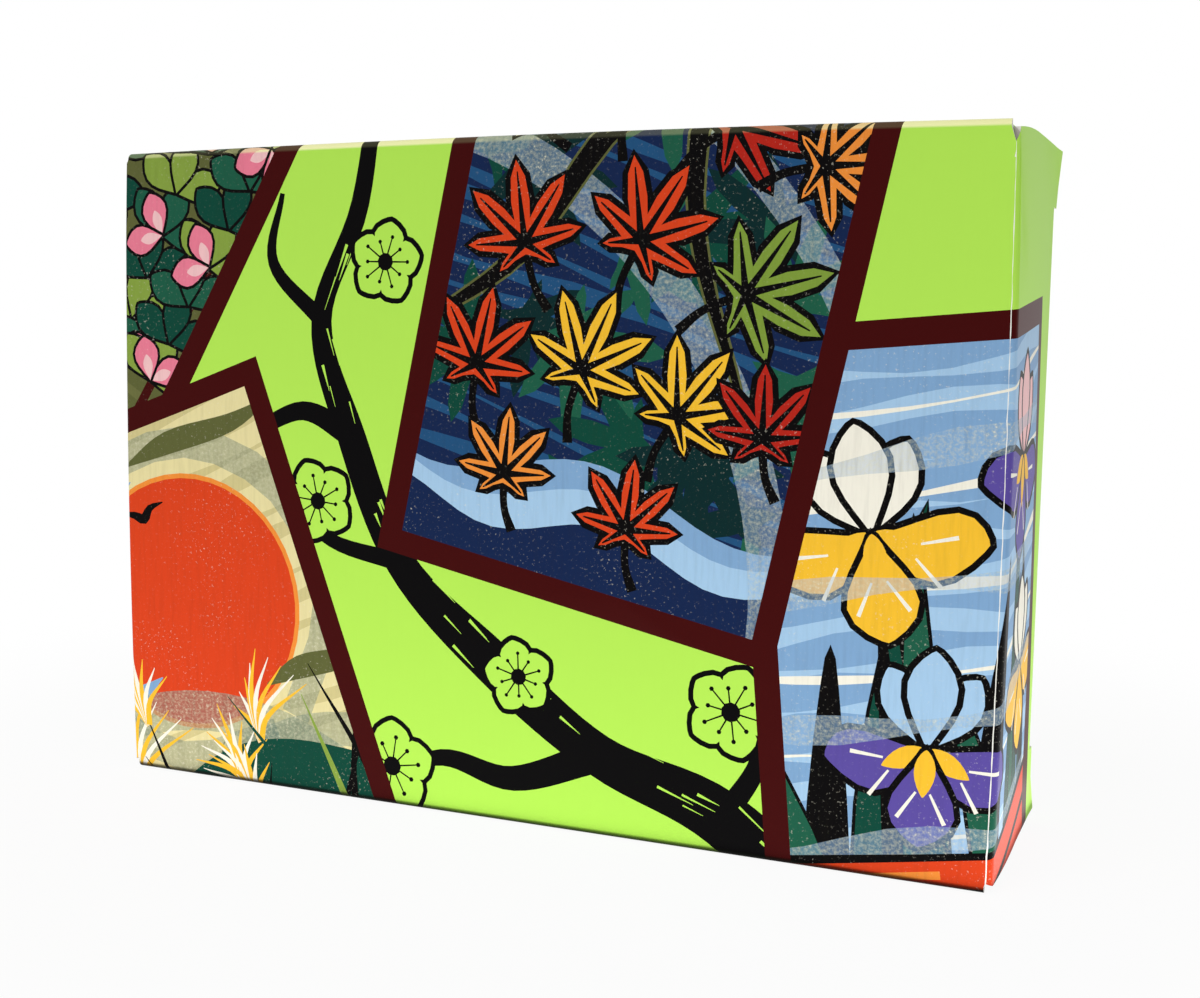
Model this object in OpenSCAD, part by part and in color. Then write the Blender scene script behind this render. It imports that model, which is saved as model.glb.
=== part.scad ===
// Boxed deck of flower cards: a tuck-end carton folded from printed board, standing on one long side,
// with a two-bay tray inside that holds forty-eight cards, one spare card and a folded rules leaflet.
// X runs along the carton from end lid to end lid, the front panel faces -Y, and Z is up.
// The origin is at the centre of the carton's underside.

/* [Cards] */
// Width of one card
card_w = 33; // [28:0.5:40]
// Height of one card
card_h = 54; // [46:0.5:64]
// Thickness of one card
card_t = 0.8; // [0.5:0.05:1.1]
// Radius of a card's corners
card_r = 1.2; // [0.4:0.1:3]

/* [Tray] */
// Sheet thickness of the tray
tray_t = 0.6; // [0.4:0.1:1]
// Gap between a card's edge and the wall of its bay
bay_gap = 0.5; // [0.2:0.1:1]
// Width of the web between the two bays
web_w = 4; // [2.5:0.5:8]
// Width of the tray's flange past each end bay
flange_w = 2.5; // [1.5:0.5:5]
// Radius of a bay's inside corners
bay_r = 1; // [0.4:0.1:1.2]
// Depth of the top card below the tray's flange
card_recess = 0.2; // [0.1:0.1:1]

/* [Leaflet] */
// Thickness of the leaflet's paper
paper_t = 0.1; // [0.08:0.01:0.16]
// Air between two folds of the leaflet
paper_gap = 0.05; // [0.03:0.01:0.1]
// Width of the folded leaflet
leaflet_w = 62; // [40:1:66]
// Height of the folded leaflet
leaflet_h = 50; // [30:1:54]

/* [Carton] */
// Thickness of the carton's board
board = 0.45; // [0.35:0.05:0.6]
// Outside radius of the sleeve's four long folds
fold_r = 0.9; // [0.7:0.1:1.5]
// Width of the glued seam flap
glue_w = 11; // [6:1:14]
// Slope of the seam flap's two ends, in degrees
glue_slope = 15; // [5:1:40]
// Distance from the seam flap's ends to the dust flaps' creases
glue_set = 2; // [1:0.5:6]
// Distance from the bottom panel's cut edge to the fold of the seam flap
seam_set = 0.1; // [0.05:0.05:1]

/* [End flaps] */
// Distance that an end lid stops short of the carton's top and underside
lid_inset = 0.55; // [0.3:0.05:1.2]
// Length of the two ears that stay flat beside the tuck flap
ear_len = 5.2; // [3:0.1:9]
// Radius of an ear's outer corner
ear_r = 0.8; // [0.3:0.1:2]
// Length of a tuck flap
tuck_len = 8.5; // [6:0.5:9]
// Radius of a tuck flap's free corners
tuck_r = 4; // [2:0.5:6]
// Angle that a tuck flap folds further in while its lid opens, in degrees
tuck_turn = 48; // [30:1:55]
// Width of the slit between an ear and the tuck flap
slit_w = 0.15; // [0.1:0.05:0.4]
// Length of a dust flap
dust_len = 16; // [10:0.5:18]
// Slope of a dust flap's edge beside the lid's crease, in degrees
dust_front_slope = 29; // [28:1:33]
// Slope of a dust flap's edge beside the tuck flap, in degrees
dust_back_slope = 11.5; // [11:0.5:16]
// Length of the relief cut at the ends of a lid's crease
relief_len = 1.6; // [0.8:0.1:3]
// Depth of that relief cut
relief_depth = 0.45; // [0.2:0.05:0.6]

/* [Clearances] */
// Gap between the tray or leaflet and the carton's inside
fit_gap = 0.3; // [0.2:0.05:0.6]
// Gap between the tray and the dust flaps at each end
end_play = 0.6; // [0.4:0.1:1.5]
// Gap between an end lid and the dust flaps behind it
lid_gap = 0.25; // [0.15:0.05:0.5]
// Gap between a tuck flap and the back panel
tuck_gap = 0.5; // [0.45:0.05:0.8]
// Gap between a dust flap and the panels beside its crease
dust_gap = 0.45; // [0.3:0.05:0.7]
// Gap between an ear and the back panel's cut edge
seat_gap = 0.1; // [0.05:0.05:0.3]
// Gap between a flap's round crease and the panel that it turns on
crease_gap = 0.03; // [0.02:0.01:0.05]

/* [Hidden] */
$fn = 48;
EPS = 0.01;

// The deck: two bays of cards, the right one with the spare card at its back.
BAYS = 2;
CARDS_PER_BAY = 24;
SUIT_NAMES = [
    ["pine", ["crane", "ribbon", "plain_a", "plain_b"]],
    ["plum", ["warbler", "ribbon", "plain_a", "plain_b"]],
    ["cherry", ["curtain", "ribbon", "plain_a", "plain_b"]],
    ["wisteria", ["cuckoo", "ribbon", "plain_a", "plain_b"]],
    ["iris", ["bridge", "ribbon", "plain_a", "plain_b"]],
    ["peony", ["butterfly", "ribbon", "plain_a", "plain_b"]],
    ["clover", ["boar", "ribbon", "plain_a", "plain_b"]],
    ["pampas", ["moon", "geese", "plain_a", "plain_b"]],
    ["chrysanthemum", ["cup", "ribbon", "plain_a", "plain_b"]],
    ["maple", ["deer", "ribbon", "plain_a", "plain_b"]],
    ["willow", ["rain", "swallow", "ribbon", "storm"]],
    ["paulownia", ["phoenix", "plain_a", "plain_b", "plain_c"]],
];
CARD_NODES = [for (suit = SUIT_NAMES) for (rank = suit[1]) str("card_", suit[0], "_", rank)];
END_NODES = ["lid", "tuck_flap", "upper_dust_flap", "lower_dust_flap"];

// Sizes of the deck
bay_w = card_w + 2 * bay_gap;
bay_h = card_h + 2 * bay_gap;
stack_t = (CARDS_PER_BAY + 1) * card_t;
bay_depth = stack_t + card_recess;
tray_w = BAYS * bay_w + web_w + 2 * flange_w;
tray_h = bay_h + 2 * tray_t;
tray_depth = bay_depth + tray_t;
bay_pitch = bay_w + web_w;
leaflet_t = 3 * paper_t + 2 * paper_gap;

// Sizes of the carton, which is made to fit the deck
carton_w = tray_w + 2 * (end_play + board + lid_gap + board);
carton_d = board + fit_gap + leaflet_t + tray_depth + fit_gap + board + tuck_gap + board;
carton_h = 3 * board + 2 * fit_gap + tray_h;

// Faces and crease lines of the carton
front_y = -carton_d / 2;
back_y = carton_d / 2;
end_x = carton_w / 2;
crease_r = board / 2;
crease_set = crease_r + crease_gap;
lid_crease_x = end_x - crease_r;
lid_crease_y = front_y + crease_r;
tuck_crease_y = back_y - board - tuck_gap - crease_r;
dust_crease_x = end_x - board - lid_gap - crease_r;
upper_crease_z = carton_h - crease_r;
lower_crease_z = crease_r;
lid_bottom_z = lid_inset;
lid_top_z = carton_h - lid_inset;
low_slit_z = lid_bottom_z + ear_len;
high_slit_z = lid_top_z - ear_len;
tuck_bottom_z = low_slit_z + slit_w;
tuck_top_z = high_slit_z - slit_w;

// Edge of a lid at its tuck crease, bevelled on the inside so that the tuck flap can fold further in
lid_edge_y = tuck_crease_y - crease_set;
lid_bevel_y = tuck_crease_y - (crease_set + crease_r * sin(tuck_turn)) / cos(tuck_turn);

// Places of the deck inside the carton
leaflet_y = front_y + board + fit_gap;
tray_y = leaflet_y + leaflet_t;
tray_z = 2 * board + fit_gap;
card_z = tray_z + tray_t + bay_gap;

// Rectangle of w by h from the origin, with corners of radius r
module rounded_rect(w, h, r, steps = 4) {
    corners = [[w - r, h - r, 0], [r, h - r, 90], [r, r, 180], [w - r, r, 270]];
    polygon([
        for (c = corners) for (i = [0:steps]) let (a = c[2] + 90 * i / steps)
            [c[0] + r * cos(a), c[1] + r * sin(a)]
    ]);
}

// Extrudes an outline drawn in X and Z along Y, from y towards +Y
module along_y(y, length) {
    translate([0, y + length, 0]) rotate([90, 0, 0]) linear_extrude(length) children();
}

// Extrudes an outline drawn in Y and Z along X, from x towards +X
module along_x(x, length) {
    translate([x, 0, 0]) rotate([90, 0, 90]) linear_extrude(length) children();
}

// Round bar along Z at a crease line, from one height to another
module upright_bar(x, y, r, from, to) {
    translate([x, y, from]) cylinder(r = r, h = to - from);
}

// Round bar along Y at a crease line, from one depth to another
module level_bar(x, z, r, from, to) {
    translate([x, from, z]) rotate([-90, 0, 0]) cylinder(r = r, h = to - from);
}

// Draws its children at the right end of the carton, or mirrored at the left end
module at_end(side) {
    mirror([side == "left" ? 1 : 0, 0, 0]) children();
}

// Quarter of a fold in the board, about its centre, turned to start at the given angle
module fold_section(y, z, start) {
    translate([y, z]) rotate(start) intersection() {
        difference() {
            circle(r = fold_r);
            circle(r = fold_r - board);
        }
        square(fold_r + EPS);
    }
}

// The sleeve's board seen from its end: bottom, front, top and back panels with their folds
module sleeve_section() {
    panel_y = front_y + fold_r;
    panel_z = carton_h - fold_r;
    translate([panel_y, 0]) square([carton_d - 2 * fold_r - seam_set, board]);
    fold_section(panel_y, fold_r, 180);
    translate([front_y, fold_r]) square([board, panel_z - fold_r]);
    fold_section(panel_y, panel_z, 90);
    translate([panel_y, carton_h - board]) square([carton_d - 2 * fold_r, board]);
    fold_section(back_y - fold_r, panel_z, 0);
    translate([back_y - board, board + fold_r]) square([board, panel_z - fold_r - board]);
    fold_section(back_y - fold_r, board + fold_r, 270);
}

// Seam flap, folded in from the back panel and glued on the bottom panel, seen from above
module glue_flap_outline() {
    long = dust_crease_x - glue_set;
    short = long - glue_w * tan(glue_slope);
    inner_y = back_y - fold_r - glue_w;
    outer_y = back_y - fold_r;
    polygon([[-short, inner_y], [short, inner_y], [long, outer_y], [-long, outer_y]]);
}

// Front panel's reach past the sleeve to the lids' creases, with relief cuts at its corners
module front_panel_outline() {
    tip = lid_crease_x - crease_set;
    neck = tip - relief_depth;
    low = fold_r;
    high = carton_h - fold_r;
    polygon([
        [neck, low], [tip, low + relief_len], [tip, high - relief_len], [neck, high],
        [-neck, high], [-tip, high - relief_len], [-tip, low + relief_len], [-neck, low],
    ]);
}

// Printed sleeve: four panels of one folded board, glued at the back lower edge
module carton_sleeve() {
    sleeve_reach = dust_crease_x - crease_set;
    back_reach = end_x - board - seat_gap;
    color("yellowgreen") union() {
        along_x(-sleeve_reach, 2 * sleeve_reach) sleeve_section();
        translate([0, 0, board]) linear_extrude(board) glue_flap_outline();
        along_y(front_y, board) front_panel_outline();
        translate([-back_reach, back_y - board, board + fold_r])
            cube([2 * back_reach, board, carton_h - board - 2 * fold_r]);
    }
}

// End lid's outline: a panel from the front crease to the tuck crease, with an ear at each end of that
module lid_outline() {
    corner = [for (a = [0:15:90]) [sin(a), 1 - cos(a)] * ear_r];
    polygon(concat(
        [[lid_crease_y, lid_bottom_z]],
        [for (p = corner) [back_y - ear_r + p[0], lid_bottom_z + p[1]]],
        [[back_y, low_slit_z], [lid_edge_y, low_slit_z]],
        [[lid_edge_y, high_slit_z], [back_y, high_slit_z]],
        [for (i = [len(corner) - 1:-1:0]) [back_y - ear_r + corner[i][0], lid_top_z - corner[i][1]]],
        [[lid_crease_y, lid_top_z]]
    ));
}

module end_lid(side) {
    color("greenyellow") at_end(side) difference() {
        union() {
            along_x(end_x - board, board) lid_outline();
            upright_bar(lid_crease_x, lid_crease_y, crease_r, lid_bottom_z, lid_top_z);
        }
        translate([0, 0, low_slit_z]) linear_extrude(high_slit_z - low_slit_z)
            polygon([[end_x, lid_edge_y], [end_x - board, lid_bevel_y], [end_x - board, lid_edge_y]]);
    }
}

// Tuck flap: slides in between the back panel and the tray, with rounded free corners
module tuck_flap(side) {
    height = tuck_top_z - tuck_bottom_z;
    free_x = lid_crease_x - tuck_len;
    color("palegreen") at_end(side) union() {
        along_y(tuck_crease_y - crease_r, board) intersection() {
            translate([free_x, tuck_bottom_z]) rounded_rect(tuck_len + tuck_r, height, tuck_r, 8);
            translate([free_x, tuck_bottom_z]) square([tuck_len, height]);
        }
        upright_bar(lid_crease_x, tuck_crease_y, crease_r, tuck_bottom_z, tuck_top_z);
    }
}

// Dust flap hung from the upper crease: both edges slope, so that it clears the lid and the tuck flap
module upper_dust_flap(side) {
    from_y = front_y + board + dust_gap;
    to_y = back_y - board - fit_gap;
    free_z = upper_crease_z - dust_len;
    color("khaki") at_end(side) union() {
        along_x(dust_crease_x - crease_r, board) polygon([
            [from_y, upper_crease_z],
            [from_y + dust_len * tan(dust_front_slope), free_z],
            [to_y - dust_len * tan(dust_back_slope), free_z],
            [to_y, upper_crease_z],
        ]);
        level_bar(dust_crease_x, upper_crease_z, crease_r, from_y, to_y);
    }
}

module lower_dust_flap(side) {
    translate([0, 0, carton_h]) mirror([0, 0, 1]) upper_dust_flap(side);
}

// Left edge of a bay, counted from the left
function bay_x(bay) = -tray_w / 2 + flange_w + bay * bay_pitch;

// Formed tray: a flange with two pockets that hang from it towards the back panel
module card_tray() {
    bay_z = tray_z + tray_t;
    color("whitesmoke") difference() {
        union() {
            translate([-tray_w / 2, tray_y, tray_z]) cube([tray_w, tray_t, tray_h]);
            for (bay = [0:BAYS - 1])
                along_y(tray_y, tray_depth) translate([bay_x(bay) - tray_t, tray_z])
                    rounded_rect(bay_w + 2 * tray_t, tray_h, bay_r + tray_t);
        }
        for (bay = [0:BAYS - 1])
            along_y(tray_y - EPS, bay_depth + EPS) translate([bay_x(bay), bay_z])
                rounded_rect(bay_w, bay_h, bay_r);
    }
}

// Rules leaflet: one sheet folded twice into a letter Z, standing in front of the tray
module rules_leaflet() {
    pitch = paper_t + paper_gap;
    color("ivory") translate([-leaflet_w / 2, leaflet_y, tray_z]) linear_extrude(leaflet_h) union() {
        for (leaf = [0:2]) translate([0, leaf * pitch]) square([leaflet_w, paper_t]);
        translate([leaflet_w - paper_t, 0]) square([paper_t, pitch + paper_t]);
        translate([0, pitch]) square([paper_t, pitch + paper_t]);
    }
}

// One card, counted from the floor of its bay
module card(bay, place) {
    color("maroon") along_y(tray_y + bay_depth - (place + 1) * card_t, card_t)
        translate([bay_x(bay) + bay_gap, card_z]) rounded_rect(card_w, card_h, card_r);
}

carton_sleeve();
for (side = ["right", "left"]) {
    end_lid(side);
    tuck_flap(side);
    upper_dust_flap(side);
    lower_dust_flap(side);
}
card_tray();
rules_leaflet();
card(BAYS - 1, 0);  // card_spare
for (i = [0:len(CARD_NODES) - 1]) {
    bay = floor(i / CARDS_PER_BAY);
    card(bay, bay + i % CARDS_PER_BAY);
}
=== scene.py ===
"""Boxed deck of flower cards: a printed tuck-end carton with its tray, rules leaflet and cards."""
import math
import random

import bpy
import numpy as np
from mathutils import Matrix, Vector
from mathutils.geometry import delaunay_2d_cdt


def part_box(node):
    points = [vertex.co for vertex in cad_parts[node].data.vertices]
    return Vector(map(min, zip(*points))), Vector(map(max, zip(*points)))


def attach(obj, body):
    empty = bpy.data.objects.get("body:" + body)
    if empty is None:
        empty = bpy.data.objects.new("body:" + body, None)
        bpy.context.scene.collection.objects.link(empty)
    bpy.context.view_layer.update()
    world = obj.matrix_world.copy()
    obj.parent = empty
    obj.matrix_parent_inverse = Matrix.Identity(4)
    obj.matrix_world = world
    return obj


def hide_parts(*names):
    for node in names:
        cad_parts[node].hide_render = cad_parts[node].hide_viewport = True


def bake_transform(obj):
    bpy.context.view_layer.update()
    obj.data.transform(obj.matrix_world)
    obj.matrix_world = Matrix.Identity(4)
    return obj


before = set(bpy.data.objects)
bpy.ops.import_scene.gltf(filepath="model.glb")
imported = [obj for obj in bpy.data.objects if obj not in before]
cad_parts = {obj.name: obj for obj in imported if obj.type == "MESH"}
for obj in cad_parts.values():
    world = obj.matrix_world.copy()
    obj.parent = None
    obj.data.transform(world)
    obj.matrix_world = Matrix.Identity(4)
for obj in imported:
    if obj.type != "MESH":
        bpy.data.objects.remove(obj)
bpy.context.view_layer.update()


# Studio: a white table top in a white room, with one large soft lamp above the carton's front and a weak
# one on the right. Two low lamps stand for the light that the table throws back up at the panels.
MM = 0.001
CAMERA_PLACE = Vector((56.26, -126.84, 42.60)) * MM
CAMERA_AIM = Vector((2.23, 1.37, 27.06)) * MM
CAMERA_ROLL = math.radians(0.72)
CAMERA_LENS = 45.7
TABLE_SIDE = 6.0
TABLE_SHADOW = 0.07
TABLE_FADE = (0.045, 0.11)
ROOM_LIGHT = 0.42


class Socket:
    """A node's output socket. Operators on it add the Math nodes that work them out."""

    def __init__(self, tree, output=None):
        self.tree = tree
        self.output = output

    def node(self, kind, settings=None, inputs=None, output=0):
        """Adds a node of that kind, with its settings first and then its sockets, and gives an output."""
        made = self.tree.nodes.new(kind)
        for name, value in (settings or {}).items():
            setattr(made, name, value)
        for name, value in (inputs or {}).items():
            if isinstance(value, Socket):
                self.tree.links.new(value.output, made.inputs[name])
            else:
                made.inputs[name].default_value = value
        return Socket(self.tree, made.outputs[output]) if made.outputs else Socket(self.tree)

    def math(self, operation, *values):
        return self.node("ShaderNodeMath", {"operation": operation}, dict(enumerate(values)))

    def __add__(self, other):
        return self.math("ADD", self, other)

    def __sub__(self, other):
        return self.math("SUBTRACT", self, other)

    def __rsub__(self, other):
        return self.math("SUBTRACT", other, self)

    def __mul__(self, other):
        return self.math("MULTIPLY", self, other)

    __radd__ = __add__
    __rmul__ = __mul__

    def most(self, other):
        return self.math("MAXIMUM", self, other)

    def rise(self, low, high):
        """0 below low, 1 above high, and a smooth rise between them."""
        settings = {"interpolation_type": "SMOOTHSTEP"}
        sockets = {"Value": self, "From Min": low, "From Max": high}
        return self.node("ShaderNodeMapRange", settings, sockets)

    def mix(self, none, full):
        """The colour between two colours that this value stands for."""
        return self.node("ShaderNodeMix", {"data_type": "RGBA"}, {0: self, 6: none, 7: full}, 2)

    def attribute(self, name, output):
        return self.node("ShaderNodeAttribute", {"attribute_name": name}, None, output)

    def noise(self, scale, detail, roughness=0.5):
        """A noise pattern over this vector."""
        sockets = {"Vector": self, "Scale": scale, "Detail": detail, "Roughness": roughness}
        return self.node("ShaderNodeTexNoise", None, sockets)

    def bump(self, strength, distance):
        """The normal of a surface that this value raises."""
        sockets = {"Strength": strength, "Distance": distance, "Height": self}
        return self.node("ShaderNodeBump", None, sockets, "Normal")

    def into(self, shader, name):
        self.tree.links.new(self.output, shader.inputs[name])


def linear(hex_colour, alpha=1.0):
    """A colour written in hex as the linear values that Blender takes."""
    parts = [int(hex_colour[i:i + 2], 16) / 255 for i in (1, 3, 5)]
    return (*(p / 12.92 if p <= 0.04045 else ((p + 0.055) / 1.055) ** 2.4 for p in parts), alpha)


def softbox(name, place, aim, width, depth, power):
    """An area lamp that faces a point, with places in metres and power in watts."""
    lamp = bpy.data.objects.new(name, bpy.data.lights.new(name, "AREA"))
    lamp.data.shape = "RECTANGLE"
    lamp.data.size = width
    lamp.data.size_y = depth
    lamp.data.energy = power
    lamp.location = place
    lamp.rotation_euler = (Vector(aim) - Vector(place)).to_track_quat("-Z", "Y").to_euler()
    bpy.context.scene.collection.objects.link(lamp)


def seen_rays(root):
    """1 for rays that show the background as such: straight, mirrored or through glass."""
    path = root.node("ShaderNodeLightPath").output.node
    kinds = ("Camera", "Glossy", "Transmission")
    shown = [Socket(root.tree, path.outputs[f"Is {kind} Ray"]) for kind in kinds]
    return shown[0].most(shown[1]).most(shown[2])


scene = bpy.context.scene
scene.view_settings.view_transform = "Standard"

camera = bpy.data.objects.new("camera", bpy.data.cameras.new("camera"))
camera.data.lens = CAMERA_LENS
camera.data.sensor_width = 36
camera.data.clip_start = 0.001
look = (CAMERA_AIM - CAMERA_PLACE).to_track_quat("-Z", "Y").to_matrix().to_4x4()
camera.matrix_world = Matrix.Translation(CAMERA_PLACE) @ look @ Matrix.Rotation(CAMERA_ROLL, 4, "Z")
scene.collection.objects.link(camera)
scene.camera = camera

softbox("key_lamp", (-0.22, -0.62, 0.72), (0, 0, 0.03), 0.7, 0.7, 3.6)
softbox("side_lamp", (0.75, -0.25, 0.35), (0, 0, 0.03), 0.5, 0.5, 0.2)
softbox("front_bounce", (0.02, -0.0398, 0.0004), (0.02, -0.0398, 1), 0.2, 0.055, 0.034)
softbox("side_bounce", (0.066, 0.002, 0.0005), (0.066, 0.002, 1), 0.05, 0.034, 0.0105)

world = bpy.data.worlds.new("white_room")
scene.world = world
world.use_nodes = True
world.node_tree.nodes.clear()
room = Socket(world.node_tree)
room_lit = room.node("ShaderNodeBackground", None, {"Color": (1, 1, 1, 1), "Strength": ROOM_LIGHT})
room_seen = room.node("ShaderNodeBackground", None, {"Color": (1, 1, 1, 1), "Strength": 1.0})
room_mix = room.node("ShaderNodeMixShader", None, {0: seen_rays(room), 1: room_lit, 2: room_seen})
room.node("ShaderNodeOutputWorld", None, {"Surface": room_mix})

table_mesh = bpy.data.meshes.new("table_top")
half_table = TABLE_SIDE / 2
table_corners = [(x * half_table, y * half_table, 0) for x, y in ((-1, -1), (1, -1), (1, 1), (-1, 1))]
table_mesh.from_pydata(table_corners, [], [(0, 1, 2, 3)])
table_top = bpy.data.objects.new("table_top", table_mesh)
scene.collection.objects.link(table_top)
table_white = bpy.data.materials.new("white_table")
table_white.use_nodes = True
table_white.node_tree.nodes.clear()
table = Socket(table_white.node_tree)
table_lit = table.node("ShaderNodeBsdfDiffuse", None, {"Color": (0.9, 0.9, 0.9, 1)})
table_seen = table.node("ShaderNodeEmission", None, {"Color": (1, 1, 1, 1), "Strength": 1.0})
table_point = table.node("ShaderNodeTexCoord", None, None, "Object")
table_away = table.node("ShaderNodeVectorMath", {"operation": "LENGTH"}, {0: table_point}, "Value")
table_shown = 1 - TABLE_SHADOW * (1 - table_away.rise(*TABLE_FADE))
table_mix = {0: seen_rays(table) * table_shown, 1: table_lit, 2: table_seen}
table.node("ShaderNodeOutputMaterial", None, {"Surface": table.node("ShaderNodeMixShader", None, table_mix)})
table_mesh.materials.append(table_white)


# Printed sheet: the carton's board before it is cut, white clay-coated on one side and printed in flat inks.
# The print is a lime ground with cards scattered over it, a little over life size, and a brush-drawn branch.
LIME = linear("#B4E857")
MAROON = linear("#400B0B")
CREAM = linear("#E4D8A0")
STRAW = linear("#CFC38A")
VERMILION = linear("#D8431E")
SCARLET = linear("#B3261B")
AMBER = linear("#EE8F3A")
GOLD = linear("#F4BE33")
PINK = linear("#EA7E95")
BLUSH = linear("#F3C3C4")
OLIVE = linear("#5E6237")
MOSS = linear("#86A043")
PINE = linear("#0E4638")
LEAF = linear("#1F5B45")
ROSE = linear("#C94A6A")
NAVY = linear("#15264C")
VIOLET = linear("#5B4C9C")
SKY = linear("#A3C6E4")
STEEL = linear("#7FA5CC")
CHALK = linear("#F2EEDF")
SAGE = linear("#5F7A72", 0.5)
THIN_BLUE = linear("#8FB2D6", 0.35)
BLACK = linear("#070607")

CARD_W, CARD_H = 33.0, 54.0
CARD_CORNER = 1.2
CARD_RIM = 1.9
FIELD_W, FIELD_H = CARD_W / 2 - CARD_RIM, CARD_H / 2 - CARD_RIM
FIELD_SIDES = ((0, FIELD_W), (0, -FIELD_W), (1, FIELD_H), (1, -FIELD_H))
OUTLINE = 0.45
FULL_INK_SPECKS, THIN_INK_SPECKS = 0.5, 1.0
draw = random.Random(12)


def turned(outline, angle, at=(0, 0)):
    """The outline turned about the origin, in degrees, and then moved."""
    a = math.radians(angle)
    turn = np.array([[math.cos(a), math.sin(a)], [-math.sin(a), math.cos(a)]])
    return np.asarray(outline, float) @ turn + at


def polar(angle, length):
    """A point at that angle from +Y, in degrees, clockwise."""
    return length * math.sin(math.radians(angle)), length * math.cos(math.radians(angle))


def oblong(half_w, half_h, corner=0.0):
    """A rectangle about the origin, with round corners where a radius is given."""
    angles = (0, 30, 60, 90) if corner else (45,)
    points = []
    for quarter, (sx, sy) in enumerate(((1, 1), (-1, 1), (-1, -1), (1, -1))):
        for a in angles:
            t = math.radians(a + 90 * quarter)
            x = sx * (half_w - corner) + corner * math.cos(t)
            points.append((x, sy * (half_h - corner) + corner * math.sin(t)))
    return np.array(points)


def painted(colour):
    """A card's whole field in one colour."""
    return [(oblong(FIELD_W, FIELD_H), colour)]


def disc(at, radius, steps=26):
    a = np.arange(steps) * 2 * math.pi / steps
    return np.stack([at[0] + radius * np.cos(a), at[1] + radius * np.sin(a)], 1)


def petal(length, width, widest=0.5, bend=0.0, steps=10):
    """A petal or leaf from the origin along +Y, widest at that share of its length, its tip bent aside."""
    t = 0.5 - 0.5 * np.cos(np.linspace(0, math.pi, steps + 1))
    half = width / 2 * np.sin(math.pi * t ** (math.log(0.5) / math.log(widest))) ** 0.8
    spine = np.stack([bend * t * t, length * t], 1)
    side = np.stack([half, np.zeros_like(half)], 1)
    return np.concatenate([spine + side, (spine - side)[-2:0:-1]])


def stroke(points, widths, steps=5):
    """A brush stroke through the points, with the brush's width at each of them."""
    knots = np.column_stack([np.asarray(points, float), widths])
    knots = np.vstack([2 * knots[0] - knots[1], knots, 2 * knots[-1] - knots[-2]])
    path = []
    for a, b, c, d in zip(knots, knots[1:], knots[2:], knots[3:]):
        for t in np.arange(steps) / steps:
            bend = (c - a) * t + (2 * a - 5 * b + 4 * c - d) * t ** 2
            path.append(b + (bend + (3 * b - a - 3 * c + d) * t ** 3) / 2)
    path = np.array(path + [knots[-2]])
    along = np.gradient(path[:, :2], axis=0)
    across = np.stack([-along[:, 1], along[:, 0]], 1) / np.linalg.norm(along, axis=1, keepdims=True)
    half = np.clip(path[:, 2:], 0.03, None) / 2
    return np.concatenate([path[:, :2] - across * half, (path[:, :2] + across * half)[::-1]])


def grown(outline, by):
    """The outline moved outwards all round."""
    ahead = np.roll(outline, -1, 0) - outline
    ahead = ahead / (np.linalg.norm(ahead, axis=1, keepdims=True) + 1e-9)
    ahead = ahead + np.roll(ahead, 1, 0)
    out = np.stack([ahead[:, 1], -ahead[:, 0]], 1)
    out = out / (np.linalg.norm(out, axis=1, keepdims=True) + 1e-9)
    x, y = outline.T
    turns_left = np.sum(x * np.roll(y, -1) - y * np.roll(x, -1)) > 0
    return outline + out * (by if turns_left else -by)


def lined(outline, colour, ink=BLACK, line=OUTLINE):
    """A shape of one colour with a drawn line round it."""
    return [(grown(outline, line), ink), (outline, colour)]


def moved(shapes, angle, at, scale=1.0):
    return [(turned(scale * outline, angle, at), *rest) for outline, *rest in shapes]


def arch(at, radius, first, last, width, colour=SAGE):
    """A band bent round a centre, printed in a thin ink that lets what is below show."""
    bow = [(at[0] + dx, at[1] + dy) for dx, dy in (polar(a, radius) for a in np.linspace(first, last, 9))]
    return [(stroke(bow, [width] * 9, 3), colour)]


def streaks(colour, spacing, width, lean=0.0, sway=0.5):
    """Uneven level bands across a card's field, as a printing block's grain leaves them."""
    shapes = []
    x = np.linspace(-CARD_W / 2, CARD_W / 2, 12)
    for y in np.arange(-CARD_H / 2, CARD_H / 2, spacing):
        thick = width * draw.uniform(0.4, 1.2)
        phase = draw.uniform(0, 6)
        middle = y + lean * x + sway * np.sin(x / 6 + phase)
        edge = thick / 2 * (1 + 0.5 * np.sin(x / 3 + 2 * phase))
        low, high = np.stack([x, middle - edge], 1), np.stack([x, middle + edge], 1)
        shapes.append((np.concatenate([low, high[::-1]]), colour))
    return shapes


def hill(height, sway, wave, shift, colour):
    """A rounded hill that fills the foot of a card."""
    x = np.linspace(-CARD_W / 2, CARD_W / 2, 22)
    top = np.stack([x, height + sway * np.cos((x - shift) / wave)], 1)
    return [(np.concatenate([top, [(CARD_W / 2, -CARD_H / 2), (-CARD_W / 2, -CARD_H / 2)]]), colour)]


def blossom(size, colour, centre=GOLD, petals=5):
    """A round flower with its stamens, seen from the front."""
    shapes = []
    ring = [turned(petal(size, size * 0.86, 0.62), 360 * k / petals) for k in range(petals)]
    shapes += [(grown(outline, OUTLINE), BLACK) for outline in ring]
    shapes += [(outline, colour) for outline in ring]
    for k in range(2 * petals):
        tip = polar(180 / petals * k + 9, size * (0.52 if k % 2 else 0.64))
        shapes += [(stroke([(0, 0), tip], (0.16, 0.12), 1), BLACK), (disc(tip, size * 0.055, 6), centre)]
    return shapes + lined(disc((0, 0), size * 0.17, 10), centre, line=0.18)


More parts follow.
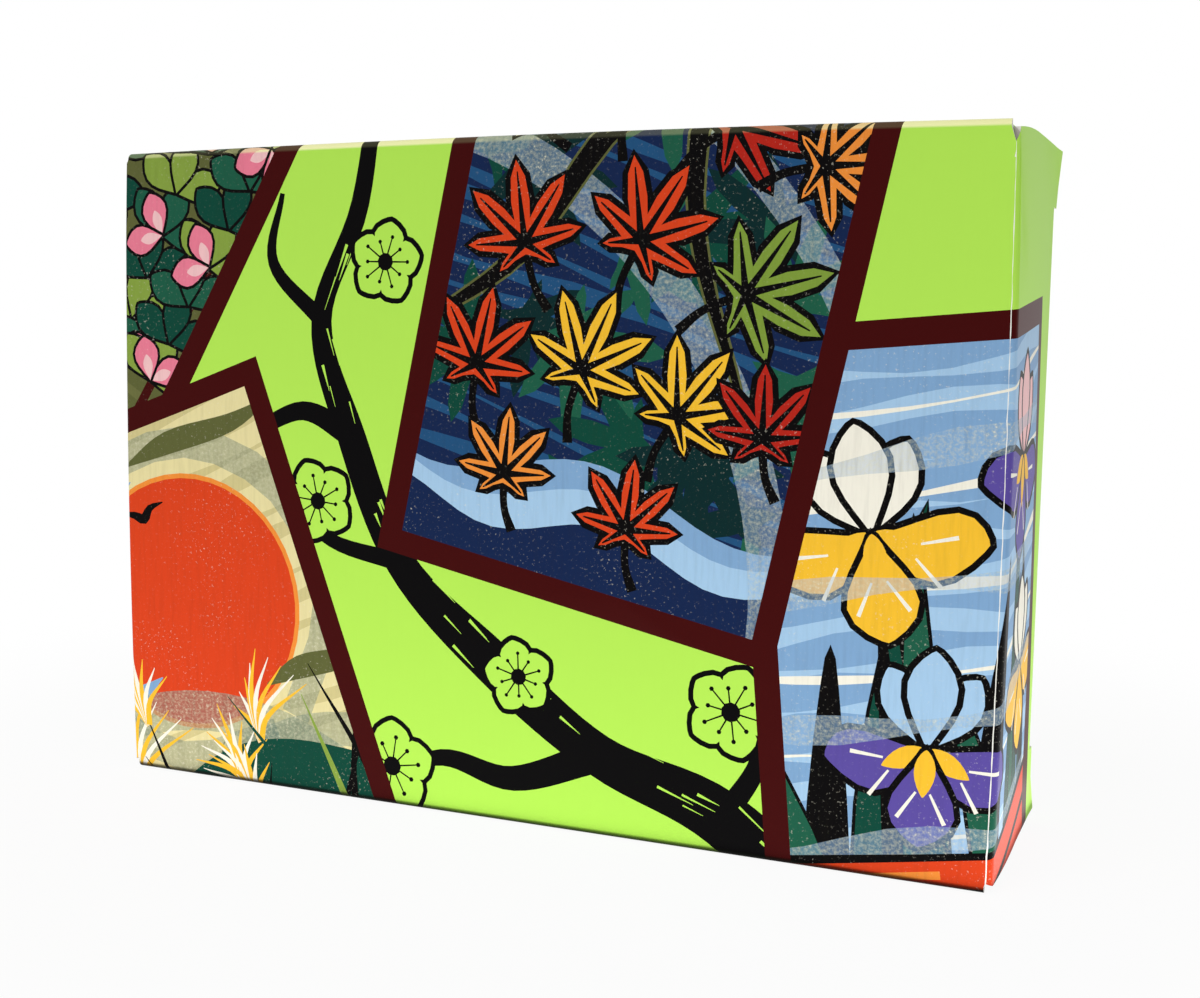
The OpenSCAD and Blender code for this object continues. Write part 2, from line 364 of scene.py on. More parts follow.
def maple_leaf(size, colour, drawn=True):
    """A seven-pointed leaf, with its veins and stalk unless it is only a shadow."""
    lobes = [(-128, 0.48), (-84, 0.78), (-41, 0.96), (0, 1.0), (41, 0.96), (84, 0.78), (128, 0.48)]
    outline = [polar(180, 0.14 * size)]
    for k, (angle, length) in enumerate(lobes):
        if k:
            outline.append(polar((angle + lobes[k - 1][0]) / 2, 0.3 * size))
        for side, reach in ((-14, 0.52), (-7, 0.8), (0, 1.0), (7, 0.8), (14, 0.52)):
            outline.append(polar(angle + side, reach * length * size))
    if not drawn:
        return [(np.array(outline), colour)]
    stalk = [(0, 0), (0.06 * size, -0.5 * size), (0.22 * size, -0.85 * size)]
    shapes = [(stroke(stalk, (0.7, 0.6, 0.8)), BLACK)]
    shapes += lined(np.array(outline), colour)
    for angle, length in lobes:
        shapes.append((stroke([(0, 0), polar(angle, 0.86 * length * size)], (0.6, 0.1), 2), BLACK))
    return shapes


def broad_leaf(length, width, colour, bend=0.0):
    """A broad leaf with its veins."""
    shapes = lined(petal(length, width, 0.45, bend, 10), colour)
    rib = [(0, 0), (0.25 * bend, 0.5 * length), (0.9 * bend, 0.95 * length)]
    shapes.append((stroke(rib, (0.5, 0.35, 0.08), 3), BLACK))
    for share in (0.22, 0.42, 0.62):
        root = (bend * share * share, length * share)
        for side in (-0.34, 0.34):
            tip = (root[0] + side * width, root[1] + 0.15 * length)
            shapes.append((stroke([root, tip], (0.3, 0.06), 1), BLACK))
    return shapes


def iris_flower(size, colour, pale):
    """An iris on its stalk: three upright petals above three that hang."""
    shapes = [(stroke([(0, 0), (0.3, -size), (0, -3.4 * size)], (0.9, 0.8, 0.8)), PINE)]
    for angle, length, width in ((-30, 1.0, 0.5), (30, 1.0, 0.5), (0, 1.12, 0.56)):
        shapes += lined(turned(petal(length * size, width * size, 0.6), angle), pale)
    for angle, bend in ((118, 0.3), (-118, -0.3), (180, 0.0)):
        shapes += lined(turned(petal(1.12 * size, 0.74 * size, 0.64, bend * size), angle), colour)
        shapes.append((turned(petal(0.55 * size, 0.24 * size, 0.45), angle), GOLD))
        for lean in (-9, 9):
            shapes.append((stroke([polar(-angle + lean, 0.5 * size), polar(-angle + 2 * lean, 0.86 * size)],
                                  (0.16, 0.3), 2), CHALK))
    return shapes


def grass(x, y, height, lean, colour, width=0.7):
    return [(stroke([(x, y), (x + 0.25 * lean, y + 0.55 * height), (x + lean, y + height)],
                    (width, 0.75 * width, 0.06)), colour)]


def pampas(sky=()):
    """Plumed grass on a hill."""
    shapes = painted(CREAM) + streaks(STRAW, 2.6, 1.0, 0.05) + list(sky)
    for bow in (((-6, -22), 24, -60, 50, 3.4), ((9, -20), 17, -70, 70, 2.8), ((-12, -26), 13, -80, 80, 2.4)):
        shapes += arch(*bow)
    shapes += hill(-6, 3.4, 7, 4, PINE) + hill(-13, 3.0, 5, -4, NAVY) + hill(-20, 2.0, 4, 3, BLACK)
    for k in range(26):
        x, lean, height = -15 + 1.25 * k, draw.uniform(-7, 8), draw.uniform(12, 27)
        shapes += grass(x, -23, height, lean, (PINE, BLACK, MOSS, BLACK)[k % 4], 0.9)
        if k % 3 == 0:
            for fan in range(-4, 5):
                tip = CHALK if fan % 2 else GOLD
                shapes += grass(x + lean, -24 + height, 7.5 - abs(fan), 0.95 * fan + 0.4 * lean, tip, 0.6)
    return shapes


def moon():
    """A full moon between bars of cloud, with geese that cross it."""
    shapes = arch((3, 10), 13.4, -200, 150, 2.6)
    shapes += [(disc((3, 10), 10.8, 44), AMBER), (disc((3, 10), 10.4, 44), VERMILION)]
    for k, (x, y, length) in enumerate(((-14, 20, 15), (1, 22.5, 16), (-12, 3.5, 10), (8, 1.5, 12))):
        bar = [(x, y), (x + 0.3 * length, y + 0.6), (x + 0.7 * length, y + 0.3), (x + length, y + 1.1)]
        shapes.append((stroke(bar, (0.2, 1.9, 1.5, 0.1)), (STEEL, OLIVE)[k % 2]))
    for x, y in ((-7, 14.5), (-3, 16.5), (1.2, 17.8), (-9.5, 11.2)):
        wings = [(x - 2.2, y + 1.1), (x - 0.9, y + 0.6), (x, y), (x + 0.9, y + 0.7), (x + 2.3, y + 0.8)]
        shapes.append((stroke(wings, (0.1, 0.6, 0.9, 0.6, 0.1), 3), BLACK))
    return shapes


def maple():
    """Autumn leaves over a stream at dusk."""
    shapes = painted(NAVY) + streaks(linear("#23507A"), 2.0, 0.9, -0.12)
    for k in range(22):
        at = (-13 + 5.3 * (k % 6) + draw.uniform(-2, 2), -22 + 12 * (k // 6) + draw.uniform(-4, 4))
        shade = (PINE, linear("#0B2A2B"), LEAF)[k % 3]
        shapes += moved(maple_leaf(draw.uniform(6, 8.5), shade, False), draw.uniform(0, 360), at)
    shapes += hill(-17.5, 1.6, 4, 0, STEEL) + hill(-19.2, 1.3, 3.4, 1, SKY) + hill(-21.5, 1.2, 3, 2, NAVY)
    shapes += arch((-20, -30), 36, 0, 90, 3.0, THIN_BLUE) + arch((-20, -30), 46, 0, 90, 2.2, THIN_BLUE)
    for points, widths in (([(16, 22), (6, 15), (-3, 9), (-9, -2), (-15, -8)], (2.6, 2.1, 1.7, 1.3, 0.6)),
                           ([(2, 13), (4, 2), (10, -9)], (1.5, 1.1, 0.4)),
                           ([(-4, 8), (-11, 13), (-16, 13)], (1.2, 0.9, 0.4))):
        shapes += lined(stroke(points, widths), BLACK, OLIVE, 0.18)
    spots = ((-8.5, 19, 6.0), (0, 20.5, 5.4), (8.5, 19, 6.6), (-11, 8.5, 5.6), (-3, 11, 6.2), (5, 9.5, 6.8),
             (12, 8, 5.6), (-9, -1.5, 6.0), (0, 0.5, 6.2), (8.5, -1.5, 6.4), (-11, -11, 5.8),
             (-2.5, -9.5, 6.2), (5.5, -11, 6.0), (12, -11, 5.2), (-7, -18.5, 5.0), (3.5, -20, 5.2))
    for k, (x, y, size) in enumerate(spots):
        colour = (VERMILION, AMBER, SCARLET, GOLD, VERMILION, linear("#7E9A3C"))[(k * 5 + k // 4) % 6]
        shapes += moved(maple_leaf(size, colour), draw.uniform(-80, 80), (x, y))
    return shapes


def planks(height, colour=VERMILION):
    """A plank bridge across the foot of a card."""
    shapes = [(np.array([(-17, height), (17, height + 3), (17, -28), (-17, -28)]), colour)]
    for k in range(7):
        y = height - 2.6 * k
        shapes.append((stroke([(-17, y), (0, y + 1.3), (17, y + 3)], (0.7, 0.5, 0.7), 3), BLACK))
        shapes.append((stroke([(-14 + 3 * k, y - 1), (-4 + 3 * k, y - 0.3)], (0.2, 0.6), 2), AMBER))
    return shapes


def iris(foot=()):
    """Irises in front of striped water."""
    shapes = painted(SKY) + streaks(STEEL, 2.9, 1.9, 0.08) + streaks(CHALK, 6.1, 0.5, 0.08)
    for k in range(15):
        blade = petal(draw.uniform(24, 42), 3.2, 0.35, draw.uniform(-8, 8), 10)
        shade = (PINE, BLACK, LEAF)[k % 3]
        shapes += lined(turned(blade, draw.uniform(-7, 7), (-15 + 2.1 * k, -27)), shade, line=0.25)
    flowers = ((-7.5, 12.5, 6.8, 6), (7.5, 16.5, 6.4, -6), (-4.5, -2.5, 6.2, -8), (9.5, 1, 6.0, 5))
    for k, (x, y, size, lean) in enumerate(flowers):
        petals, upright = ((GOLD, CHALK), (VIOLET, BLUSH), (VIOLET, SKY), (GOLD, CHALK))[k]
        shapes += moved(iris_flower(size, petals, upright), lean, (x, y))
    return shapes + streaks(THIN_BLUE, 9.0, 2.2, 0.08) + list(foot)


def plum():
    """Blossom on a crooked branch."""
    shapes = painted(GOLD) + streaks(linear("#F7CD5E"), 2.9, 1.2, 0.12)
    branches = (
        ([(-16, -21), (-7, -15), (-3, -4), (4, 3), (5, 13), (12, 25)], (4, 3.4, 2.6, 2.2, 1.5, 0.8)),
        ([(-3, -4), (-9, 4), (-10, 15)], (1.8, 1.3, 0.5)),
        ([(-7, -15), (3, -14), (12, -19)], (1.9, 1.3, 0.5)),
    )
    for points, widths in branches:
        shapes.append((stroke(points, widths), BLACK))
    flowers = ((-8.5, 12, 4.6), (4.5, 8, 5.2), (9, 19, 4.4), (-2, -6, 4.8), (7.5, -14, 5.0), (-10.5, 1, 3.8),
               (-8, -18, 4.2))
    for k, (x, y, size) in enumerate(flowers):
        shapes += moved(blossom(size, VERMILION if k % 3 else PINK), 25 * k, (x, y))
    return shapes


def clover(ground=STRAW, band=CREAM, bud=ROSE, size=2.4):
    """Bush clover: arching stems with leaves in threes and small flowers."""
    shapes = painted(ground) + streaks(band, 3.4, 1.3, -0.1)
    for k, (x, lean) in enumerate(((-12, 5), (-5, 9), (2, -7), (9, -5), (13, 3))):
        shapes.append((stroke([(x, -26), (x + 0.3 * lean, -4), (x + lean, 20)], (0.9, 0.7, 0.3)), MAROON))
        for step in range(11):
            share = step / 11
            root = (x + lean * share ** 1.4, -20 + 40 * share)
            for side in (-62, 62, 0):
                shapes += lined(turned(petal(4.4, 2.5, 0.6), side + 12 * (step % 3), root),
                                (LEAF, MOSS, PINE)[(step + k) % 3], line=0.25)
            if step % 3 == 0:
                for turn in (30 * step - 40, 30 * step + 40):
                    shapes += lined(turned(petal(size, 0.64 * size, 0.6), turn, root), bud, line=0.25)
                    shapes.append((turned(petal(0.6 * size, 0.26 * size, 0.6), turn, root), BLUSH))
    return shapes


def framed(shapes):
    """A card: its dark rim, and the picture trimmed to the field inside it."""
    field = np.array([FIELD_W, FIELD_H])
    card = [(oblong(CARD_W / 2, CARD_H / 2), MAROON, 0.0)]
    for outline, colour in shapes:
        if (outline.min(0) > field).any() or (outline.max(0) < -field).any():
            continue
        for axis, limit in FIELD_SIDES if (np.abs(outline) > field).any() else ():
            kept = []
            for a, b in zip(outline, np.roll(outline, -1, 0)):
                a_in, b_in = a[axis] * limit <= limit * limit, b[axis] * limit <= limit * limit
                if a_in:
                    kept.append(a)
                if a_in != b_in:
                    kept.append(a + (b - a) * (limit - a[axis]) / (b[axis] - a[axis]))
            outline = np.array(kept).reshape(-1, 2)
        if len(outline) > 2:
            card.append((outline, colour, FULL_INK_SPECKS if colour[3] == 1 else THIN_INK_SPECKS))
    return card


def brush_branch():
    """An old plum branch in black ink, with open flowers drawn in line."""
    strokes = [
        ([(30, -6), (19, 3), (8, 7), (-2, 14), (-11, 22), (-16, 33), (-19, 43), (-15, 53), (-13, 66)],
         (5.6, 5.0, 3.8, 4.1, 3.0, 2.9, 2.1, 1.8, 1.2)),
        ([(8, 7), (0, 4), (-7, 5), (-14, 2)], (2.8, 2.2, 1.5, 0.5)),
        ([(-16, 33), (-21, 35), (-27, 33), (-31, 35)], (2.2, 1.7, 1.2, 0.4)),
        ([(-19, 43), (-24, 48), (-23, 54)], (1.6, 1.1, 0.5)),
        ([(-11, 22), (-19, 24), (-24, 30)], (1.7, 1.2, 0.5)),
        ([(19, 3), (22, 9), (19, 15)], (2.0, 1.4, 0.5)),
    ]
    shapes = [(stroke(points, widths, 8), BLACK, 0.0) for points, widths in strokes]
    for k in range(34):
        points, widths = strokes[0]
        span = k % (len(points) - 2)
        a, b = np.array(points[span]), np.array(points[span + 1])
        start, length = draw.uniform(0.05, 0.7), draw.uniform(0.1, 0.3)
        across = np.array([-(b - a)[1], (b - a)[0]]) / np.linalg.norm(b - a)
        aside = across * draw.uniform(-0.42, 0.42) * widths[span]
        dry = [a + (b - a) * start + aside, a + (b - a) * (start + length) + aside]
        shapes.append((stroke(dry, (0.04, draw.uniform(0.1, 0.3)), 2), LIME, 0.0))
    flowers = ((-12, 3.6, 4.2), (-29.5, 33.5, 4.0), (-12.5, 48, 3.4), (-19.5, 27, 3.6), (19.5, 12, 3.8),
               (0.5, 13, 3.2))
    for k, (x, y, size) in enumerate(flowers):
        flower = blossom(size, LIME, BLACK)
        shapes += [(outline, colour, 0.0) for outline, colour in moved(flower, 31 * k, (x, y))]
    return shapes


# Carton sleeve: the front, top, back and bottom panels of one piece of coated board, creased, folded round
# and glued along the back lower edge. The board's inside and its cut edges are bare grey-white fibre.
SLEEVE_LOW, SLEEVE_HIGH = (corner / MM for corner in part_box("carton_sleeve"))
LID_LOW, LID_HIGH = (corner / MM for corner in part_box("right_lid"))
TUCK_LOW, TUCK_HIGH = (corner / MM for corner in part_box("right_tuck_flap"))
DUST_LOW, DUST_HIGH = (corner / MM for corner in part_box("right_upper_dust_flap"))
END_X = LID_HIGH.x
FRONT_Y, BACK_Y = SLEEVE_LOW.y, SLEEVE_HIGH.y
HEIGHT = SLEEVE_HIGH.z
BOARD = TUCK_HIGH.y - TUCK_LOW.y
LONG_FOLD = 0.6
LID_FOLD_IN, LID_FOLD_Y = 0.2, 0.75
LID_BULGE = 0.3
LID_FOLD_ARC = 1.0
TUCK_FOLD = 0.6
DUST_FOLD = 0.5
QUARTER = math.pi / 2
SEAM_FLAP = 11.0
SEAM_SLOPE = math.tan(math.radians(15))
SEAM_GAP = 0.02
END_GAP = 0.1
NICK = 0.05
RELIEF_LENGTH, FOOT_RELIEF = 1.1, 0.3
FRONT_REACH = END_X - LID_FOLD_IN
CORNER_REACH, FOOT_REACH = END_X - 0.55, END_X - 0.3
PANEL_REACH = DUST_HIGH.x - DUST_FOLD
BACK_REACH = END_X - BOARD - END_GAP
PAST_END = 45.0
SHEET_CELL = 3.0
SHEET_SCALE = 1.12
SHARP_EDGE = math.radians(50)
LEFT_BULGE, RIGHT_BULGE = 0.5, 0.2
BULGE_START = 20.0
PANEL_BOW, TOP_BOW = 0.22, 0.29
BOW_DEPTH = 4.0
CRACK_AT_FOOT, CRACK_TAPER = 0.11, 0.06
RIGHT_CRACK, LEFT_CRACK = FRONT_REACH + 0.05, -FRONT_REACH - 0.5
CHIPS_BELOW_TOP = 2.4
# Size and place of the painted highlight at the corners where the folds meet.
CORNER_LIGHT_W, CORNER_LIGHT_H = 1.1, 0.9
CORNER_LIGHT_U, CORNER_LIGHT_V = PANEL_REACH + 0.8, 0.85
GREY_BOARD = linear("#CFCAC0")
CUT_EDGE = linear("#F4F2EA")

fold_arc = QUARTER * LONG_FOLD
depth_flat = BACK_Y - FRONT_Y - 2 * LONG_FOLD
top_start = HEIGHT - LONG_FOLD + fold_arc
back_start = top_start + depth_flat + fold_arc
back_end = back_start + HEIGHT - 2 * LONG_FOLD - BOARD - SEAM_GAP
seam_start = back_end + fold_arc
bottom_end = LONG_FOLD - fold_arc
bottom_start = bottom_end - depth_flat + END_GAP


def inside(points, outline):
    """Which of the points lie inside the outline."""
    x, y = points.T[:, :, None]
    ax, ay = outline.T
    bx, by = np.roll(outline, -1, 0).T
    left = (bx - ax) * (y - ay) - (x - ax) * (by - ay)
    rising = (ay <= y) & (by > y) & (left > 0)
    falling = (ay > y) & (by <= y) & (left < 0)
    return rising.sum(1) != falling.sum(1)


def cut_sheet(outline, bends, art, cell):
    """The flat outline as triangles, cut along its bends and along the edges of the print."""
    low, high = outline.min(0), outline.max(0)
    art = [shape for shape in art if (shape[0].min(0) < high).all() and (shape[0].max(0) > low).all()]
    points, edges = [], []
    for loop in [outline, *(shape[0] for shape in art)]:
        first, count = len(points), len(loop)
        points += [Vector(p) for p in loop]
        edges += [(first + k, first + (k + 1) % count) for k in range(count)]
    for a, b in bends:
        edges.append((len(points), len(points) + 1))
        points += [Vector(a), Vector(b)]
    points += [Vector((x, y)) for x in np.arange(low[0] + cell / 2, high[0], cell)
               for y in np.arange(low[1] + cell / 2, high[1], cell)]
    found, _, triangles, *_ = delaunay_2d_cdt(points, edges, [], 0, 1e-4)
    flat = np.array([p[:] for p in found])
    triangles = np.array(triangles)
    triangles = triangles[inside(flat[triangles].mean(1), outline)]
    used, renamed = np.unique(triangles, return_inverse=True)
    return flat[used], renamed.reshape(-1, 3), art


def board_piece(name, outline, fold, bends=(), art=(), ground=LIME, back=GREY_BOARD, edge=CUT_EDGE,
                thick=BOARD, painted_light=None, cell=SHEET_CELL, finishes=(), settle=lambda place: place):
    """A piece of printed board: a flat outline that is cut, printed, folded and given its thickness."""
    outline = np.asarray(outline, float)
    flat, triangles, art = cut_sheet(outline, bends, art, cell)
    count, faces = len(flat), len(triangles)
    sides = np.concatenate([triangles[:, [0, 1]], triangles[:, [1, 2]], triangles[:, [2, 0]]])
    rim = sides[~np.isin(sides @ (1, count), sides @ (count, 1))]
    place = settle(np.concatenate([fold(flat, 0.0), fold(flat, thick)])) * MM
    mesh = bpy.data.meshes.new(name)
    mesh.from_pydata(place.tolist(), [], triangles.tolist() + (triangles[:, ::-1] + count).tolist()
                     + (rim[:, [1, 0, 0, 1]] + (0, 0, count, count)).tolist())
    colours = np.empty((len(mesh.polygons), 4), np.float32)
    colours[:faces], colours[faces:2 * faces], colours[2 * faces:] = ground, back, edge
    chalk = np.zeros(len(mesh.polygons), np.float32)
    centre = flat[triangles].mean(1)
    order = np.argsort(centre[:, 0])
    for shape, colour, chalky in art:
        (left, foot), (right, top) = shape.min(0), shape.max(0)
        near = order[slice(*np.searchsorted(centre[order, 0], (left, right)))]
        near = near[(centre[near, 1] >= foot) & (centre[near, 1] <= top)]
        hit = near[inside(centre[near], shape)]
        colours[hit] += (np.array(colour) - colours[hit]) * colour[3]
        chalk[hit] = chalky
    # Painted light per point: a painted highlight above 0 and painted shade below 0.
    fold_light_values = np.zeros(2 * count, np.float32)
    if painted_light:
        fold_light_values[:count] = painted_light(flat)
    sheet = np.zeros((2 * count, 3), np.float32)
    sheet[:, :2] = np.concatenate([flat, flat])
    sheet[count:, 2] = thick
    mesh.attributes.new("ink", "FLOAT_COLOR", "FACE").data.foreach_set("color", colours.ravel())
    mesh.attributes.new("chalk", "FLOAT", "FACE").data.foreach_set("value", chalk)
    mesh.attributes.new("painted_light", "FLOAT", "POINT").data.foreach_set("value", fold_light_values)
    mesh.attributes.new("sheet", "FLOAT_VECTOR", "POINT").data.foreach_set("vector", sheet.ravel())
    for finish in finishes:
        mesh.materials.append(finish)
    mesh.polygons.foreach_set("material_index", np.repeat([0, 1], [faces, len(mesh.polygons) - faces]))
    mesh.polygons.foreach_set("use_smooth", np.ones(len(mesh.polygons), bool))
    mesh.set_sharp_from_angle(angle=SHARP_EDGE)
    mesh.update()
    piece = bpy.data.objects.new(name, mesh)
    scene.collection.objects.link(piece)
    return piece


def new_finish(name):
    """A material, its shader, and a root from which its nodes are added."""
    finish = bpy.data.materials.new(name)
    finish.use_nodes = True
    return finish, finish.node_tree.nodes["Principled BSDF"], Socket(finish.node_tree)


def printed_finish(name, rough):
    """Flat inks on smooth board, with chalky specks in the pictures, a painted highlight along the upper
    folds and painted shade along the lower ones.
    """
    finish, shader, root = new_finish(name)
    ink = root.attribute("ink", "Color")
    chalk = root.attribute("chalk", "Fac")
    painted_light = root.attribute("painted_light", "Fac")
    sheet = root.attribute("sheet", "Vector")
    along = root.node("ShaderNodeVectorMath", {"operation": "MULTIPLY"}, {0: sheet, 1: (2.6, 0.22, 1.0)})
    specks = sheet.noise(3.4, 3.0, 0.7)
    streak = along.noise(1.0, 3.0, 0.6)
    blotch = sheet.noise(0.14, 2.0)
    fibre = sheet.noise(5.5, 3.0, 0.6)
    gathered = 0.12 + blotch.rise(0.42, 0.66) * 0.75
    flecked = (specks.rise(0.6, 0.68) * chalk * gathered).mix(ink, linear("#EDE8D6"))
    mottled = (specks.rise(0.4, 0.62) * chalk.rise(0.5, 1.0) * 0.3).mix(flecked, linear("#D9D6B4"))
    deepened = (streak.rise(0.4, 0.75) * (0.006 + chalk * 0.16)).mix(mottled, linear("#2A2418"))
    bright = root.node("ShaderNodeRGBToBW", None, {"Color": ink})
    # Painted highlight: the upper folds' ink is mixed towards pale yellow, most on the lightest inks.
    with_highlight = (painted_light.most(0) * (0.04 + bright * 1.4)).mix(deepened, linear("#FFFFBE"))
    # Painted shade: the lower folds' ink is mixed towards near-black where they turn under towards the
    # table.
    with_shade = ((0 - painted_light).most(0) * 0.9).mix(with_highlight, linear("#0B0D07"))
    with_shade.into(shader, "Base Color")
    (rough + (fibre - 0.5) * 0.16 + chalk * 0.08).into(shader, "Roughness")
    fibre.bump(0.1, 0.00004).into(shader, "Normal")
    shader.inputs["Specular IOR Level"].default_value = 0.025
    shader.inputs["Sheen Weight"].default_value = 0.16
    shader.inputs["Sheen Roughness"].default_value = 0.3
    return finish


def bare_finish(name):
    """Uncoated board: short grey and brown fibres in a pale felt."""
    finish, shader, root = new_finish(name)
    ink = root.attribute("ink", "Color")
    sheet = root.attribute("sheet", "Vector")
    felt = sheet.noise(1.6, 5.0, 0.7)
    (felt.rise(0.45, 0.8) * 0.35).mix(ink, linear("#8F8778")).into(shader, "Base Color")
    (0.8 + felt * 0.15).into(shader, "Roughness")
    felt.bump(0.3, 0.00005).into(shader, "Normal")
    shader.inputs["Specular IOR Level"].default_value = 0.15
    return finish


def settled(place):
    """The closed carton as it stands: its panels bow a little and its ends are pushed out in the middle."""
    x, y, z = place.T
    level = np.clip(z / HEIGHT, 0, 1)
    belly = np.sin(math.pi * level)
    left = np.clip((-x - BULGE_START) / (END_X - BULGE_START), 0, 1) ** 2
    right = np.clip((x - BULGE_START) / (END_X - BULGE_START), 0, 1) ** 2
    lean = np.sin(math.pi * np.clip(level * 0.85 + 0.15, 0, 1))
    flat = np.clip(1 - (x / END_X) ** 2, 0, 1)
    front = np.clip((FRONT_Y + BOW_DEPTH - y) / BOW_DEPTH, 0, 1)
    back = np.clip((y - BACK_Y + BOW_DEPTH) / BOW_DEPTH, 0, 1)
    upper = np.clip(2 * level - 1, 0, 1) ** 2
    return np.stack([x - LEFT_BULGE * left * lean + RIGHT_BULGE * right * belly,
                     y - PANEL_BOW * belly * flat * (front - back), z + TOP_BOW * flat * upper], 1)


def sleeve_fold(flat, depth):
    """Wraps the flat sleeve round its four long folds, with a flat panel before and after each of them."""
    u, v = flat.T
    y, z = np.zeros_like(v), np.zeros_like(v)
    pen, heading, start = np.array([BACK_Y - LONG_FOLD - END_GAP, 0.0]), math.pi, bottom_start
    ends = (bottom_end, LONG_FOLD, HEIGHT - LONG_FOLD, top_start, top_start + depth_flat, back_start,
            back_end, seam_start, seam_start + SEAM_FLAP)
    for k, end in enumerate(ends):
        here = (v >= start - 1e-6) & (v <= end + 1e-6)
        run = v[here] - start
        inward = np.array([math.sin(heading), -math.cos(heading)])
        ahead = np.array([math.cos(heading), math.sin(heading)])
        if k % 2:
            hub = pen + LONG_FOLD * inward
            angle = heading - run / LONG_FOLD
            y[here] = hub[0] - (LONG_FOLD - depth) * np.sin(angle)
            z[here] = hub[1] + (LONG_FOLD - depth) * np.cos(angle)
            heading -= QUARTER
            pen = hub - LONG_FOLD * np.array([math.sin(heading), -math.cos(heading)])
        else:
            y[here] = pen[0] + run * ahead[0] + depth * inward[0]
            z[here] = pen[1] + run * ahead[1] + depth * inward[1]
            pen = pen + (end - start) * ahead
        start = end
    return np.stack([u, y, z], 1)


def sleeve_wear(flat):
    """A painted highlight along the two upper long folds and, as values below 0, painted shade along the two
    lower ones.
    """
    v = flat[:, 1]
    folds = [HEIGHT - LONG_FOLD + fold_arc / 2, back_start - fold_arc / 2]
    # Painted highlight across the middle of each upper fold.
    painted_highlight = sum(np.clip((fold_arc / 2 - np.abs(v - line)) / (0.2 * fold_arc), 0, 1) for line in folds)
    foot = np.minimum(np.abs(v - bottom_end), np.abs(v - seam_start)) / fold_arc
    # Painted shade along each lower fold, given as values below 0.
    return painted_highlight - np.clip((1 - foot) / 0.25, 0, 1)


def crease_crack(u):
    """The white line where the coating has cracked along a crease, wider towards the foot, with chips."""
    heights = np.linspace(LONG_FOLD, HEIGHT - LONG_FOLD - RELIEF_LENGTH, 70)
    line = [(u + draw.gauss(0, 0.015), v) for v in heights]
    widths = [max(0.02, draw.gauss(CRACK_AT_FOOT - CRACK_TAPER * v / HEIGHT, 0.022)) for v in heights]
    highest = HEIGHT - CHIPS_BELOW_TOP
    chips = [(u - math.copysign(draw.uniform(0.0, 0.06), u), highest - 0.12 * k) for k in range(4)]
    outlines = [stroke(line, widths, 2)] + [disc(at, draw.uniform(0.05, 0.1), 7) for at in chips]
    return [(outline, CUT_EDGE, 0.0) for outline in outlines]


def corner_highlight(u, v):
    """A painted highlight: white where two folds meet at a corner, standing for the light that catches the
    corner.
    """
    return [(oblong(CORNER_LIGHT_W, CORNER_LIGHT_H) + (u, v), CUT_EDGE, 0.0)]


carton_print = printed_finish("printed_board", 0.46)
bare_board = bare_finish("bare_board")
board_finishes = (carton_print, bare_board)

sheet_print = brush_branch()
for picture, tilt, at in ((clover(OLIVE, linear("#6B6E40"), PINK, 3.6), -30, (-39, 64)),
                          (pampas(moon()), 20, (-33, 5)), (iris(planks(-11)), 5, (40, 14)),
                          (maple(), -12, (11, 49)), (plum(), 172, (-6, back_start + 26))):
    sheet_print += moved(framed(picture), tilt, at, SHEET_SCALE)
sheet_print += crease_crack(RIGHT_CRACK) + crease_crack(LEFT_CRACK)
# Painted highlight at the corners of each end's dust creases, top and bottom.
for corner_u in (CORNER_LIGHT_U, -CORNER_LIGHT_U):
    sheet_print += corner_highlight(corner_u, top_start + CORNER_LIGHT_V) + corner_highlight(corner_u, bottom_end - CORNER_LIGHT_V)
end_print = [shape for shape in sheet_print if np.abs(shape[0][:, 0]).max() > PANEL_REACH]

seam_end = PANEL_REACH - 2


def sleeve_end(reach, relief):
    """The sleeve's cut edge at one end, from the bottom panel to the seam flap, with a notch by the lid."""
    return [
        (PANEL_REACH, bottom_start), (PANEL_REACH, bottom_end), (FOOT_REACH, bottom_end + NICK),
        (FOOT_REACH, LONG_FOLD), (FRONT_REACH, LONG_FOLD + FOOT_RELIEF),
        (FRONT_REACH, HEIGHT - LONG_FOLD - relief), (reach, HEIGHT - LONG_FOLD),
        (reach, top_start - NICK), (PANEL_REACH, top_start), (PANEL_REACH, top_start + depth_flat),
        (BACK_REACH, top_start + depth_flat + NICK), (BACK_REACH, back_end), (seam_end, back_end + NICK),
        (seam_end, seam_start), (seam_end - SEAM_FLAP * SEAM_SLOPE, seam_start + SEAM_FLAP),
    ]


sleeve_outline = sleeve_end(CORNER_REACH, RELIEF_LENGTH)
sleeve_outline += [(-u, v) for u, v in reversed(sleeve_end(FOOT_REACH, FOOT_RELIEF))]
sleeve_bends = []
for first, last in ((bottom_end, LONG_FOLD), (HEIGHT - LONG_FOLD, top_start),
                    (top_start + depth_flat, back_start), (back_end, seam_start)):
    sleeve_bends += [((-PAST_END, v), (PAST_END, v)) for v in np.linspace(first, last, 6)]
# The sleeve's folds carry a painted highlight along the top and painted shade along the foot.
sleeve = board_piece("printed_sleeve", sleeve_outline, sleeve_fold, sleeve_bends, sheet_print,
                     painted_light=sleeve_wear, finishes=board_finishes, settle=settled)
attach(sleeve, "carton")
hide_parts("carton_sleeve")


# Dust flaps: the two ends of the top and bottom panels, folded in behind each lid. Their slanted edges were
# cut so that they clear the lid's crease and the tuck flap, and their creases are part of the same board.
DUST_FRONT_SLOPE = math.tan(math.radians(29))
DUST_BACK_SLOPE = math.tan(math.radians(11.5))
DUST_CORNER = 1.0
CREASE_CELL = 1.5
dust_start = PANEL_REACH + QUARTER * DUST_FOLD
dust_end = dust_start + HEIGHT - DUST_FOLD - DUST_LOW.z


